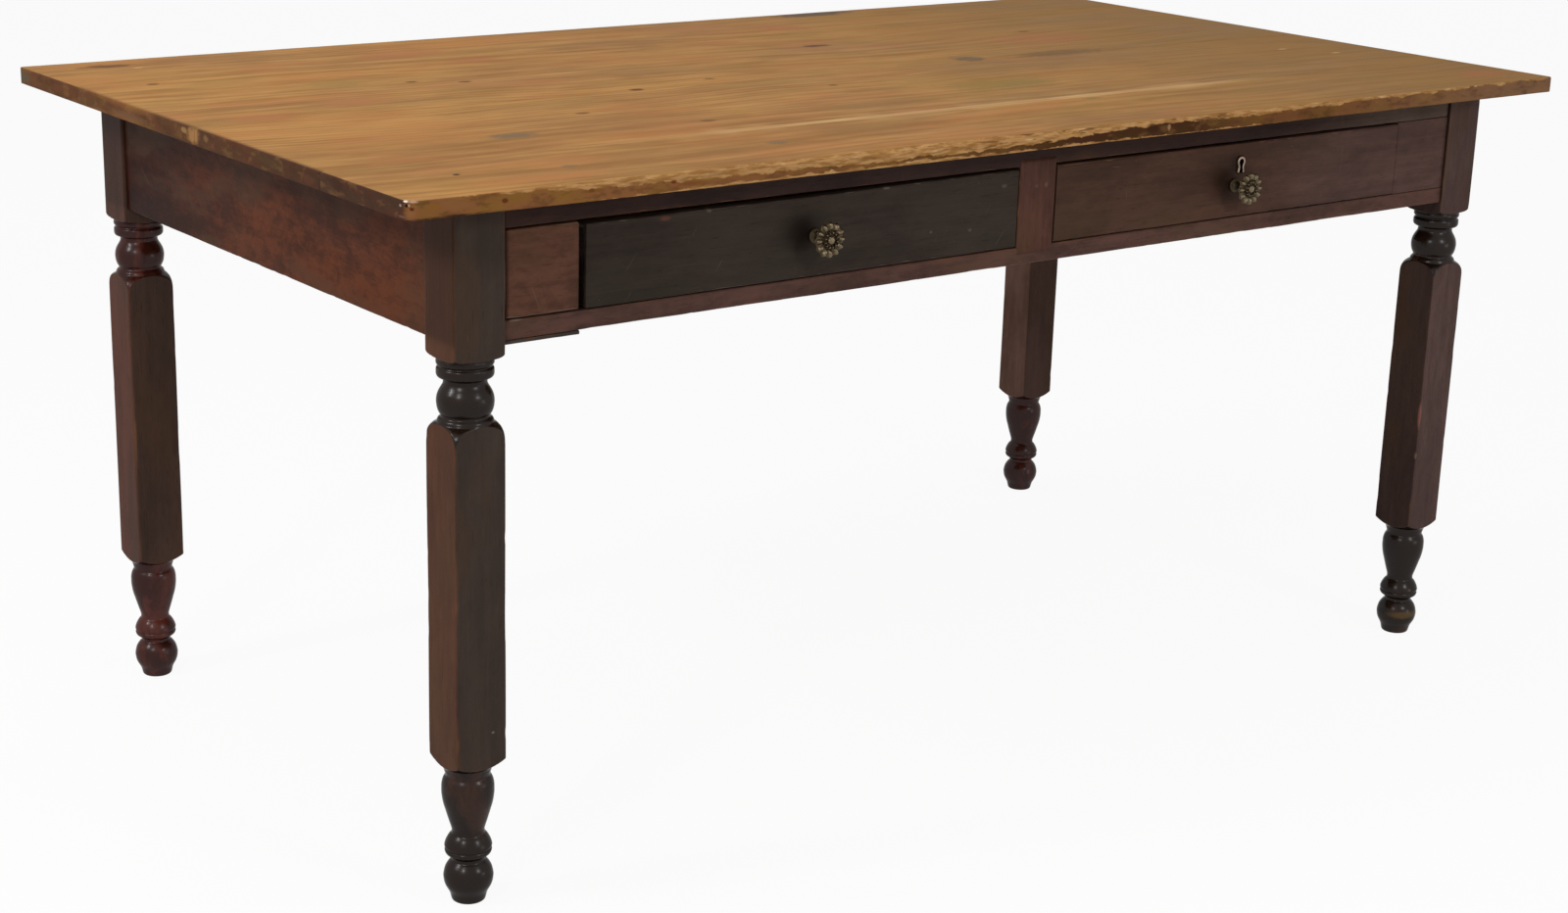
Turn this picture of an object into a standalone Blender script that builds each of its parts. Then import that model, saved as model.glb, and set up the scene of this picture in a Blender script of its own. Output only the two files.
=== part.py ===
"""A farmhouse table: a pine top of four boards on a dark base with turned legs and two drawers.

Metres, +Z up. The origin is on the floor under the middle of the top, and the drawers face -Y.
Left and right are as seen from the drawer side.
"""

import math

import bmesh
import bpy
from mathutils import Matrix, Vector

# Clearances and overruns
GAP = 0.0003
OVERRUN = 0.004
MERGE = 0.00001

# Top
TOP_LENGTH = 1.68
TOP_WIDTH = 0.925
TABLE_HEIGHT = 0.762
TOP_THICKNESS = 0.019
END_OVERHANG = 0.078
SIDE_OVERHANG = 0.051
NEAR_CORNER_RADIUS = 0.016
CORNER_RADIUS = 0.008
CORNER_SEGMENTS = 3
# Where the boards meet, as shares of the width from the back edge
SEAM_SHARES = (0.185, 0.515, 0.815)

# Legs
LEG_SIDE = 0.058
LEG_ARRIS = 0.0012
LEG_PROUD = 0.0035
LEG_BLOCK_DROP = 0.016
LEG_BLOCK_ROUND = 0.006
UPPER_TURNING_HEIGHT = 0.077
LOWER_TURNING_HEIGHT = 0.162
SHOULDER_DROP = 0.012
LEG_SEGMENTS = 16
# Turned parts as (height share, radius share) from the top down: heights as shares of the turning's own
# height, radii as shares of half the leg's side
UPPER_TURNING_SHARES = (
    (1.0, 0.985),
    (0.905, 0.985),
    (0.885, 0.945),
    (0.865, 0.985),
    (0.77, 0.975),
    (0.70, 0.80),
    (0.675, 0.752),
    (0.62, 0.80),
    (0.54, 0.93),
    (0.425, 0.985),
    (0.32, 0.955),
    (0.235, 0.885),
    (0.18, 0.905),
    (0.145, 0.985),
    (0.10, 1.14),
    (0.0, 1.33),
)
LOWER_TURNING_SHARES = (
    (0.98, 1.39),
    (0.945, 1.23),
    (0.918, 1.01),
    (0.88, 0.83),
    (0.84, 0.90),
    (0.78, 0.945),
    (0.70, 0.91),
    (0.58, 0.73),
    (0.49, 0.59),
    (0.465, 0.61),
    (0.43, 0.757),
    (0.375, 0.853),
    (0.34, 0.82),
    (0.305, 0.635),
    (0.28, 0.605),
    (0.245, 0.783),
    (0.205, 0.869),
    (0.165, 0.895),
    (0.115, 0.845),
    (0.06, 0.70),
    (0.0, 0.61),
)
# The lathe's reach where the stock stays square, past its corners
SQUARE_RADIUS_SHARE = 1.6
# Where the turned corners of the upper block begin, short of its corners
BLOCK_CORNER_SHARE = 1.28

# Aprons and rails
APRON_HEIGHT = 0.142
APRON_THICKNESS = 0.022
APRON_TENON_THICKNESS = 0.008
APRON_TENON_SETBACK = 0.007
APRON_TENON_SHOULDER = 0.014
TENON_LENGTH_SHARE = 0.5
TOP_RAIL_HEIGHT = 0.030
TOP_RAIL_DEPTH = 0.040
BOTTOM_RAIL_HEIGHT = 0.020
BOTTOM_RAIL_DEPTH = 0.048
RAIL_TENON_SHOULDER_SHARE = 0.25
STILE_WIDTH = 0.0554
STILE_OFFSET = -0.0042
STILE_TENON_LENGTH = 0.008
LEFT_FILLER_WIDTH = 0.0864
RIGHT_FILLER_WIDTH = 0.0948
CLEAT_HEIGHT = 0.0045
CLEAT_SETBACK = 0.001
CLEAT_OVERLAP = 0.002

# Runners, guides and kickers
RUNNER_OUTER_REACH = 0.030
RUNNER_INNER_REACH = 0.022
STUB_TENON_LENGTH = 0.008
STUB_TENON_SHOULDER_SHARE = 0.28
GUIDE_HEIGHT = 0.025
STOP_LENGTH = 0.040
STOP_DEPTH = 0.016
STOP_HEIGHT = 0.0045
GLUE_BLOCK_SIDE = 0.020
GLUE_BLOCK_LENGTH = 0.060
BACK_BLOCK_SHARES = (0.27, 0.73)

# Screws up through the kickers into the top
SCREW_RADIUS = 0.0022
SCREW_HEAD_RADIUS = 0.0042
SCREW_HEAD_HEIGHT = 0.003
SCREW_BITE = 0.012
COUNTERBORE_DEPTH = 0.012
SCREW_SEGMENTS = 8

# Drawers
DRAWER_SIDE_GAP = 0.0012
DRAWER_TOP_GAP = 0.0025
DRAWER_FOOT_GAP = 0.0008
LEFT_DRAWER_SLACK = 0.0089
DRAWER_LENGTH = 0.46
DRAWER_FRONT_THICKNESS = 0.020
DRAWER_SIDE_THICKNESS = 0.011
DRAWER_SIDE_DROP = 0.005
DRAWER_BACK_THICKNESS = 0.010
DRAWER_BACK_DROP = 0.006
DRAWER_BACK_SETBACK = 0.008
DRAWER_BOTTOM_THICKNESS = 0.007
GROOVE_DEPTH = 0.004
GROOVE_RISE = 0.008
TAIL_COUNT = 3
TAIL_LENGTH = 0.014
TAIL_ROOT_SHARE = 0.29
TAIL_TIP_SHARE = 0.37

# Knobs
LEFT_KNOB_OFFSET = -0.0005
RIGHT_KNOB_OFFSET = -0.0005
LEFT_KNOB_RISE = 0.0445
RIGHT_KNOB_RISE = 0.0388
KNOB_BASE_RADIUS = 0.0085
KNOB_BASE_THICKNESS = 0.0035
KNOB_NECK_LENGTH = 0.0205
KNOB_NECK_END_RADIUS = 0.0065
KNOB_NECK_WAIST_RADIUS = 0.0042
KNOB_FLARE_SHARE = 0.2
ROSETTE_RADIUS = 0.0185
ROSETTE_THICKNESS = 0.0068
ROSETTE_PETALS = 12
ROSETTE_SEGMENTS = 48
# The rosette's section from its middle outwards, as (radius share, thickness share)
ROSETTE_SHARES = (
    (0.0, 1.0),
    (0.16, 0.92),
    (0.27, 0.42),
    (0.42, 0.86),
    (0.60, 0.80),
    (0.70, 0.40),
    (0.84, 0.72),
    (1.0, 0.38),
)
PETAL_DEPTH_SHARE = 0.5
SCALLOP_SHARE = 0.055
PETAL_BAND_SHARES = (0.35, 0.97)
BOLT_RADIUS = 0.002
BOLT_BITE = 0.003
BOLT_TAIL = 0.0015
NUT_SIDE = 0.009
NUT_THICKNESS = 0.0035
KNOB_SEGMENTS = 16
BORE_SEGMENTS = 10

# Keyhole and lock
KEYHOLE_OFFSET = 0.0072
KEYHOLE_RISE = 0.0666
KEYHOLE_HEAD_RADIUS = 0.0032
KEYHOLE_FOOT_WIDTH = 0.0030
KEYHOLE_DROP = 0.0095
ESCUTCHEON_WALL = 0.0036
ESCUTCHEON_DEPTH = 0.0030
ESCUTCHEON_PROUD = 0.0030
KEYHOLE_ARC_POINTS = 9
LOCK_WIDTH = 0.050
LOCK_HEIGHT = 0.034
LOCK_THICKNESS = 0.010
LOCK_BOLT_WIDTH = 0.014
LOCK_BOLT_THICKNESS = 0.0045
LOCK_BOLT_HEIGHT = 0.024
LOCK_BOLT_TRAVEL = 0.0075
LOCK_BOLT_CLEARANCE = 0.0008
KEY_DEPTH = 0.004

# Finishes as (sRGB colour, roughness, metallic)
PINE_TOP = ((168, 124, 77), 0.42, 0.0)
LEG_STAIN = ((64, 46, 40), 0.32, 0.0)
APRON_STAIN = ((78, 47, 38), 0.40, 0.0)
RAIL_STAIN = ((70, 48, 42), 0.40, 0.0)
LEFT_FRONT_STAIN = ((50, 42, 38), 0.42, 0.0)
RIGHT_FRONT_STAIN = ((68, 48, 42), 0.40, 0.0)
BARE_WOOD = ((176, 141, 98), 0.65, 0.0)
BRONZE = ((112, 98, 76), 0.42, 0.9)
BRASS = ((140, 120, 92), 0.38, 0.9)
IRON = ((92, 88, 84), 0.50, 0.9)

# Places that follow from the sizes above
UNDER_TOP = TABLE_HEIGHT - TOP_THICKNESS
FRAME_TOP = UNDER_TOP - GAP
LEG_OUT = Vector((TOP_LENGTH / 2 - END_OVERHANG, TOP_WIDTH / 2 - SIDE_OVERHANG, 0))
LEG_IN = LEG_OUT - Vector((LEG_SIDE, LEG_SIDE, 0))
APRON_OUT = LEG_OUT - Vector((LEG_PROUD, LEG_PROUD, 0))
APRON_IN = APRON_OUT - Vector((APRON_THICKNESS, APRON_THICKNESS, 0))
APRON_BOTTOM = UNDER_TOP - APRON_HEIGHT
FRONT_FACE = -APRON_OUT.y
TENON_LENGTH = LEG_SIDE * TENON_LENGTH_SHARE
OPENING_TOP = UNDER_TOP - TOP_RAIL_HEIGHT
OPENING_BOTTOM = APRON_BOTTOM + BOTTOM_RAIL_HEIGHT
STILE_LEFT = STILE_OFFSET - STILE_WIDTH / 2
STILE_RIGHT = STILE_OFFSET + STILE_WIDTH / 2
LEFT_OPENING = (-LEG_IN.x + LEFT_FILLER_WIDTH, STILE_LEFT)
RIGHT_OPENING = (STILE_RIGHT, LEG_IN.x - RIGHT_FILLER_WIDTH)
LEFT_DRAWER = (LEFT_OPENING[0] + LEFT_DRAWER_SLACK, LEFT_OPENING[1] - DRAWER_SIDE_GAP)
RIGHT_DRAWER = (RIGHT_OPENING[0] + DRAWER_SIDE_GAP, RIGHT_OPENING[1] - DRAWER_SIDE_GAP)
DRAWER_BOTTOM = OPENING_BOTTOM + DRAWER_FOOT_GAP
DRAWER_TOP = OPENING_TOP - DRAWER_TOP_GAP
SIDE_BOTTOM = OPENING_BOTTOM + GAP
SIDE_TOP = DRAWER_TOP - DRAWER_SIDE_DROP
DRAWER_REAR = FRONT_FACE + DRAWER_LENGTH
FRONT_BACK_FACE = FRONT_FACE + DRAWER_FRONT_THICKNESS
BOTTOM_RAIL_BACK = FRONT_FACE + BOTTOM_RAIL_DEPTH
TOP_RAIL_BACK = FRONT_FACE + TOP_RAIL_DEPTH
PANEL_LOW = SIDE_BOTTOM + GROOVE_RISE
PANEL_HIGH = PANEL_LOW + DRAWER_BOTTOM_THICKNESS


def clear_scene():
    for thing in list(bpy.data.objects):
        bpy.data.objects.remove(thing, do_unlink=True)


def collection(name):
    made = bpy.data.collections.new(name)
    bpy.context.scene.collection.children.link(made)
    return made


clear_scene()
TABLE = collection("farm_table")
CUTTERS = collection("cutters")
CUTTERS.hide_render = True


def linear(channel):
    """A colour channel of 0 to 255 in sRGB as the linear value that a shader takes."""
    share = channel / 255
    return share / 12.92 if share <= 0.04045 else ((share + 0.055) / 1.055) ** 2.4


def paint(piece, finish):
    """Gives a piece its own material from a finish."""
    colour, roughness, metallic = finish
    material = bpy.data.materials.new(piece.name)
    material.use_nodes = True
    shader = material.node_tree.nodes["Principled BSDF"]
    rgba = [linear(channel) for channel in colour] + [1.0]
    shader.inputs["Base Color"].default_value = rgba
    shader.inputs["Roughness"].default_value = roughness
    shader.inputs["Metallic"].default_value = metallic
    material.diffuse_color = rgba
    piece.data.materials.append(material)


def empty(name, place, parent=None):
    """An empty that carries the pieces of a moving body."""
    carrier = bpy.data.objects.new(name, None)
    carrier.parent = parent
    carrier.location = Vector(place) - (parent.location if parent else Vector())
    TABLE.objects.link(carrier)
    return carrier


def place_of(carrier):
    """The world place of an empty, which may itself have a parent."""
    place = Vector()
    while carrier:
        place += carrier.location
        carrier = carrier.parent
    return place


def piece_of(name, mesh, finish, place, parent=None, turn=(0, 0, 0)):
    """A named piece of the table with its origin at a world place."""
    piece = bpy.data.objects.new(name, mesh)
    piece.parent = parent
    piece.location = Vector(place) - place_of(parent)
    piece.rotation_euler = turn
    TABLE.objects.link(piece)
    if finish:
        paint(piece, finish)
    return piece


def cutter(name, mesh, place=(0, 0, 0), turn=(0, 0, 0)):
    """A helper that Boolean modifiers use and that isn't part of the table."""
    helper = bpy.data.objects.new(name, mesh)
    helper.location = place
    helper.rotation_euler = turn
    helper.hide_render = True
    helper.display_type = "WIRE"
    CUTTERS.objects.link(helper)
    return helper


def boolean(piece, helper, operation="DIFFERENCE"):
    modifier = piece.modifiers.new(helper.name, "BOOLEAN")
    modifier.operation = operation
    modifier.solver = "EXACT"
    modifier.object = helper


def box_mesh(name, spans):
    """Square-edged boxes, each from its low corner to its high corner."""
    shape = bmesh.new()
    for low, high in spans:
        low, high = Vector(low), Vector(high)
        size = (high - low).to_4d()
        size.w = 1
        matrix = Matrix.Translation((low + high) / 2) @ Matrix.Diagonal(size)
        bmesh.ops.create_cube(shape, size=1, matrix=matrix)
    mesh = bpy.data.meshes.new(name)
    shape.to_mesh(mesh)
    shape.free()
    return mesh


def block(name, low, high, finish, parent=None):
    """A square-edged piece of wood or metal, with its origin at its middle."""
    low, high = Vector(low), Vector(high)
    middle = (low + high) / 2
    mesh = box_mesh(name, [(low - middle, high - middle)])
    return piece_of(name, mesh, finish, middle, parent)


def tenon(piece, receivers, low, high):
    """Lengthens a piece by a tenon that runs through it, and mortises the pieces that receive it."""
    low, high = Vector(low), Vector(high)
    tongue = cutter(piece.name + "_tenon", box_mesh(piece.name + "_tenon", [(low, high)]))
    boolean(piece, tongue, "UNION")
    room = Vector((GAP, GAP, GAP))
    hole = box_mesh(piece.name + "_mortise", [(low - room, high + room)])
    mortise = cutter(piece.name + "_mortise", hole)
    for receiver in receivers:
        boolean(receiver, mortise)


def evaluated_mesh(thing, name):
    """The mesh that an object's modifiers or curve make, with the object itself removed."""
    bpy.context.view_layer.update()
    graph = bpy.context.evaluated_depsgraph_get()
    mesh = bpy.data.meshes.new_from_object(thing.evaluated_get(graph))
    mesh.name = name
    bpy.data.objects.remove(thing, do_unlink=True)
    return mesh


def turned_mesh(name, profile, segments, ring=False):
    """A shape turned about Z from (radius, height) points that run down its outer side.

    A ring's profile is a closed loop off the axis: down outside and up the bore.
    """
    edges = [(index, index + 1) for index in range(len(profile) - 1)]
    if ring:
        edges.append((len(profile) - 1, 0))
    line = bpy.data.meshes.new(name + "_profile")
    line.from_pydata([(radius, 0, height) for radius, height in profile], edges, [])
    lathe = bpy.data.objects.new(name + "_lathe", line)
    CUTTERS.objects.link(lathe)
    screw = lathe.modifiers.new("turn", "SCREW")
    screw.axis = "Z"
    screw.angle = math.tau
    screw.steps = segments
    screw.render_steps = segments
    screw.use_merge_vertices = True
    screw.merge_threshold = MERGE
    return evaluated_mesh(lathe, name)


def smooth(mesh, angle=math.radians(40)):
    mesh.shade_smooth()
    mesh.set_sharp_from_angle(angle=angle)


def cylinder_mesh(name, radius, low, high, segments):
    """A plain cylinder about Z between two heights."""
    shape = bmesh.new()
    bmesh.ops.create_cone(
        shape,
        cap_ends=True,
        segments=segments,
        radius1=radius,
        radius2=radius,
        depth=high - low,
        matrix=Matrix.Translation((0, 0, (low + high) / 2)),
    )
    mesh = bpy.data.meshes.new(name)
    shape.to_mesh(mesh)
    shape.free()
    return mesh


def outline_mesh(name, outlines, low, high):
    """A flat outline, with any inner ones as holes, made as thick as from low to high along Z."""
    curve = bpy.data.curves.new(name + "_outline", "CURVE")
    curve.dimensions = "2D"
    curve.fill_mode = "BOTH"
    curve.extrude = (high - low) / 2
    for outline in outlines:
        spline = curve.splines.new("POLY")
        spline.points.add(len(outline) - 1)
        for point, (x, y) in zip(spline.points, outline):
            point.co = (x, y, 0, 1)
        spline.use_cyclic_u = True
    flat = bpy.data.objects.new(name + "_flat", curve)
    CUTTERS.objects.link(flat)
    mesh = evaluated_mesh(flat, name)
    shape = bmesh.new()
    shape.from_mesh(mesh)
    bmesh.ops.remove_doubles(shape, verts=shape.verts, dist=MERGE)
    bmesh.ops.translate(shape, verts=shape.verts, vec=(0, 0, (low + high) / 2))
    bmesh.ops.recalc_face_normals(shape, faces=shape.faces)
    shape.to_mesh(mesh)
    shape.free()
    return mesh


def round_corner(mesh, corner, radius):
    """Rounds the upright edge of a box mesh that stands nearest a corner in plan."""
    shape = bmesh.new()
    shape.from_mesh(mesh)
    upright = []
    for edge in shape.edges:
        first, second = edge.verts
        if (first.co - second.co).xy.length < MERGE:
            upright.append(edge)
    nearest = min(upright, key=lambda edge: (edge.verts[0].co.xy - Vector(corner)).length)
    bmesh.ops.bevel(
        shape,
        geom=[nearest],
        offset=radius,
        segments=CORNER_SEGMENTS,
        profile=0.5,
        affect="EDGES",
    )
    shape.to_mesh(mesh)
    shape.free()


def board_edges():
    """The lines across the top where boards begin and end, from the back edge to the front."""
    shares = (0.0,) + SEAM_SHARES + (1.0,)
    return [TOP_WIDTH / 2 - share * TOP_WIDTH for share in shares]


def make_top():
    """Four boards glued edge to edge, with the outer corners eased in plan."""
    names = ("top_board_back", "top_board_mid_back", "top_board_mid_front", "top_board_front")
    edges = board_edges()
    boards = []
    for index, name in enumerate(names):
        back = edges[index] - (GAP / 2 if index else 0)
        front = edges[index + 1] + (GAP / 2 if index + 1 < len(names) else 0)
        low = (-TOP_LENGTH / 2, front, UNDER_TOP)
        high = (TOP_LENGTH / 2, back, TABLE_HEIGHT)
        boards.append(block(name, low, high, PINE_TOP))
    half = (edges[0] - edges[1]) / 2
    for side in (-1, 1):
        round_corner(boards[0].data, (side * TOP_LENGTH / 2, half), CORNER_RADIUS)
    half = (edges[-2] - edges[-1]) / 2
    round_corner(boards[-1].data, (-TOP_LENGTH / 2, -half), NEAR_CORNER_RADIUS)
    round_corner(boards[-1].data, (TOP_LENGTH / 2, -half), CORNER_RADIUS)
    return boards


def leg_profile():
    """The lathe's cut from above the leg's top down to the floor, as (radius, height)."""
    half = LEG_SIDE / 2
    clear = half * SQUARE_RADIUS_SHARE
    block_bottom = APRON_BOTTOM - LEG_BLOCK_DROP
    shaft_top = block_bottom - UPPER_TURNING_HEIGHT
    points = [
        (0, FRAME_TOP + OVERRUN),
        (clear, FRAME_TOP + OVERRUN),
        (clear, block_bottom + LEG_BLOCK_ROUND),
        (half * BLOCK_CORNER_SHARE, block_bottom),
    ]
    for height, radius in UPPER_TURNING_SHARES:
        points.append((radius * half, shaft_top + height * UPPER_TURNING_HEIGHT))
    points.append((clear, shaft_top - SHOULDER_DROP))
    points.append((clear, LOWER_TURNING_HEIGHT))
    for height, radius in LOWER_TURNING_SHARES:
        points.append((radius * half, height * LOWER_TURNING_HEIGHT))
    points.append((0, 0))
    return points


def make_legs():
    """Square stock with eased arrises, turned to a neck below the block and to a foot."""
    half = LEG_SIDE / 2
    stock_mesh = box_mesh("leg_stock", [((-half, -half, -OVERRUN), (half, half, FRAME_TOP))])
    stock = cutter("leg_stock", stock_mesh)
    arris = stock.modifiers.new("arris", "BEVEL")
    arris.width = LEG_ARRIS
    arris.segments = 1
    arris.limit_method = "ANGLE"
    lathe = cutter("leg_turning", turned_mesh("leg_turning", leg_profile(), LEG_SEGMENTS))
    boolean(stock, lathe, "INTERSECT")
    mesh = evaluated_mesh(stock, "leg")
    bpy.data.objects.remove(lathe, do_unlink=True)
    smooth(mesh, math.radians(32))
    legs = {}
    for row, y in (("front", -1), ("back", 1)):
        for side, x in (("left", -1), ("right", 1)):
            name = "leg_" + row + "_" + side
            place = (x * (LEG_OUT.x - half), y * (LEG_OUT.y - half), 0)
            legs[name] = piece_of(name, mesh.copy(), LEG_STAIN, place)
    return legs


def make_aprons(legs):
    """The end and back aprons, set back from the legs' faces and tenoned into them."""
    aprons = {}
    near, far = APRON_TENON_SETBACK, APRON_TENON_SETBACK + APRON_TENON_THICKNESS
    tongue_low = APRON_BOTTOM + APRON_TENON_SHOULDER
    tongue_high = FRAME_TOP - APRON_TENON_SHOULDER
    reach = LEG_IN + Vector((TENON_LENGTH, TENON_LENGTH, 0))
    for side, sign in (("left", -1), ("right", 1)):
        faces = sorted((sign * APRON_IN.x, sign * APRON_OUT.x))
        low = (faces[0], -LEG_IN.y + GAP, APRON_BOTTOM)
        high = (faces[1], LEG_IN.y - GAP, FRAME_TOP)
        apron = block("apron_" + side, low, high, APRON_STAIN)
        tongue = sorted((sign * (APRON_OUT.x - near), sign * (APRON_OUT.x - far)))
        ends = [legs["leg_front_" + side], legs["leg_back_" + side]]
        low = (tongue[0], -reach.y, tongue_low)
        tenon(apron, ends, low, (tongue[1], reach.y, tongue_high))
        aprons[side] = apron
    low = (-LEG_IN.x + GAP, APRON_IN.y, APRON_BOTTOM)
    back = block("apron_back", low, (LEG_IN.x - GAP, APRON_OUT.y, FRAME_TOP), APRON_STAIN)
    low = (-reach.x, APRON_OUT.y - far, tongue_low)
    high = (reach.x, APRON_OUT.y - near, tongue_high)
    tenon(back, [legs["leg_back_left"], legs["leg_back_right"]], low, high)
    aprons["back"] = back
    return aprons


def make_rail(name, depth, bottom, top, legs):
    """A front rail between the front legs, with a tenon that leaves a shoulder all round."""
    low = (-LEG_IN.x + GAP, FRONT_FACE, bottom)
    high = (LEG_IN.x - GAP, FRONT_FACE + depth, top)
    rail = block(name, low, high, RAIL_STAIN)
    side = depth * RAIL_TENON_SHOULDER_SHARE
    flat = (top - bottom) * RAIL_TENON_SHOULDER_SHARE
    reach = LEG_IN.x + TENON_LENGTH
    low = (-reach, FRONT_FACE + side, bottom + flat)
    high = (reach, FRONT_FACE + depth - side, top - flat)
    tenon(rail, [legs["leg_front_left"], legs["leg_front_right"]], low, high)
    return rail


def make_front(legs):
    """The rails over and under the drawers, and what fills the space between them."""
    over = make_rail("rail_top", TOP_RAIL_DEPTH, OPENING_TOP, FRAME_TOP, legs)
    under = make_rail("rail_bottom", BOTTOM_RAIL_DEPTH, APRON_BOTTOM, OPENING_BOTTOM, legs)
    low_z, high_z = OPENING_BOTTOM + GAP, OPENING_TOP - GAP
    back = FRONT_FACE + APRON_THICKNESS
    low = (STILE_LEFT, FRONT_FACE, low_z)
    stile = block("stile", low, (STILE_RIGHT, back, high_z), RAIL_STAIN)
    near = FRONT_FACE + APRON_TENON_SETBACK
    shoulder = STILE_WIDTH * RAIL_TENON_SHOULDER_SHARE
    low = (STILE_LEFT + shoulder, near, OPENING_BOTTOM - STILE_TENON_LENGTH)
    far = near + APRON_TENON_THICKNESS
    high = (STILE_RIGHT - shoulder, far, OPENING_TOP + STILE_TENON_LENGTH)
    tenon(stile, [over, under], low, high)
    low = (-LEG_IN.x + GAP, FRONT_FACE, low_z)
    block("filler_left", low, (LEFT_OPENING[0], back, high_z), APRON_STAIN)
    low = (RIGHT_OPENING[1], FRONT_FACE, low_z)
    block("filler_right", low, (LEG_IN.x - GAP, back, high_z), RAIL_STAIN)
    low = (-LEG_IN.x + GAP, FRONT_FACE + CLEAT_SETBACK, APRON_BOTTOM - GAP - CLEAT_HEIGHT)
    high = (LEFT_OPENING[0] + CLEAT_OVERLAP, back, APRON_BOTTOM - GAP)
    block("rail_cleat", low, high, RAIL_STAIN)
    return over, under


def runner_spans():
    """Where each runner lies across the table, and the guide on it that fills between drawers."""
    inner, outer = RUNNER_INNER_REACH, RUNNER_OUTER_REACH
    left, right = LEFT_DRAWER, RIGHT_DRAWER
    gap = DRAWER_SIDE_GAP
    return {
        "left": ((left[0] - outer, left[0] + inner), (left[0] - outer, left[0] - gap)),
        "centre": ((left[1] - inner, right[0] + inner), (left[1] + gap, right[0] - gap)),
        "right": ((right[1] - inner, right[1] + outer), (right[1] + gap, right[1] + outer)),
    }


def bearer(name, span, front, bottom, top, receivers):
    """A bearer from a front rail to the back apron, with a stub tenon at each end."""
    low = (span[0], front + GAP, bottom)
    made = block(name, low, (span[1], APRON_IN.y - GAP, top), BARE_WOOD)
    side = (span[1] - span[0]) * STUB_TENON_SHOULDER_SHARE
    flat = (top - bottom) * STUB_TENON_SHOULDER_SHARE
    low = (span[0] + side, front - STUB_TENON_LENGTH, bottom + flat)
    high = (span[1] - side, APRON_IN.y + STUB_TENON_LENGTH, top - flat)
    tenon(made, receivers, low, high)
    return made


def make_bearers(over, under, back):
    """Runners that carry the drawers, guides beside them and kickers that stop them tipping."""
    kickers = {}
    for side, (span, guide) in runner_spans().items():
        name = "runner_" + side
        bearer(name, span, BOTTOM_RAIL_BACK, APRON_BOTTOM, OPENING_BOTTOM, [under, back])
        low = (guide[0], BOTTOM_RAIL_BACK + GAP, OPENING_BOTTOM + GAP)
        high = (guide[1], APRON_IN.y - GAP, OPENING_BOTTOM + GUIDE_HEIGHT)
        block("guide_" + side, low, high, BARE_WOOD)
        name = "kicker_" + side
        kickers[side] = bearer(name, span, TOP_RAIL_BACK, OPENING_TOP, FRAME_TOP, [over, back])
    return kickers


def make_stops():
    """A small block on the bottom rail that halts each drawer front flush with the stile."""
    front = FRONT_BACK_FACE + GAP
    for side, drawer in (("left", LEFT_DRAWER), ("right", RIGHT_DRAWER)):
        middle = sum(drawer) / 2
        low = (middle - STOP_LENGTH / 2, front, OPENING_BOTTOM + GAP)
        high = (middle + STOP_LENGTH / 2, front + STOP_DEPTH, OPENING_BOTTOM + STOP_HEIGHT)
        block("drawer_stop_" + side, low, high, BARE_WOOD)


def make_glue_blocks():
    """Blocks glued into the corner under the top, along the end and back aprons."""
    low_z = FRAME_TOP - GLUE_BLOCK_SIDE
    half = GLUE_BLOCK_LENGTH / 2
    for side, sign in (("left", -1), ("right", 1)):
        near = sign * (APRON_IN.x - GAP)
        far = near - sign * GLUE_BLOCK_SIDE
        low = (min(near, far), -half, low_z)
        block("glue_block_" + side, low, (max(near, far), half, FRAME_TOP), BARE_WOOD)
    back = APRON_IN.y - GAP
    for side, share in zip(("left", "right"), BACK_BLOCK_SHARES):
        middle = -LEG_IN.x + share * 2 * LEG_IN.x
        low = (middle - half, back - GLUE_BLOCK_SIDE, low_z)
        block("glue_block_back_" + side, low, (middle + half, back, FRAME_TOP), BARE_WOOD)


def make_top_screws(boards, kickers):
    """A screw into the back board and one into the front board through each kicker."""
    edges = board_edges()
    head_top = OPENING_TOP + COUNTERBORE_DEPTH - GAP
    tip = UNDER_TOP + SCREW_BITE
    profile = [
        (0, tip),
        (SCREW_RADIUS, tip),
        (SCREW_RADIUS, head_top),
        (SCREW_HEAD_RADIUS, head_top),
        (SCREW_HEAD_RADIUS, head_top - SCREW_HEAD_HEIGHT),
        (0, head_top - SCREW_HEAD_HEIGHT),
    ]
    screw = turned_mesh("top_screw", profile, SCREW_SEGMENTS)
    smooth(screw)
    room = GAP * 2
    sides = SCREW_SEGMENTS
    hole = cylinder_mesh("hole", SCREW_RADIUS + room, OPENING_TOP, tip + GAP, sides)
    low = OPENING_TOP - OVERRUN
    high = OPENING_TOP + COUNTERBORE_DEPTH
    bore = cylinder_mesh("bore", SCREW_HEAD_RADIUS + room, low, high, sides)
    rows = {
        "back": (boards[0], (edges[1] + APRON_IN.y) / 2),
        "front": (boards[-1], (edges[-2] + TOP_RAIL_BACK) / 2),
    }
    for row, (board, y) in rows.items():
        for side, kicker in kickers.items():
            name = "top_screw_" + row + "_" + side
            place = (kicker.location.x, y, 0)
            piece_of(name, screw.copy(), IRON, place)
            through = cutter(name + "_hole", hole, place)
            boolean(kicker, cutter(name + "_bore", bore, place))
            boolean(kicker, through)
            boolean(board, through)


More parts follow.
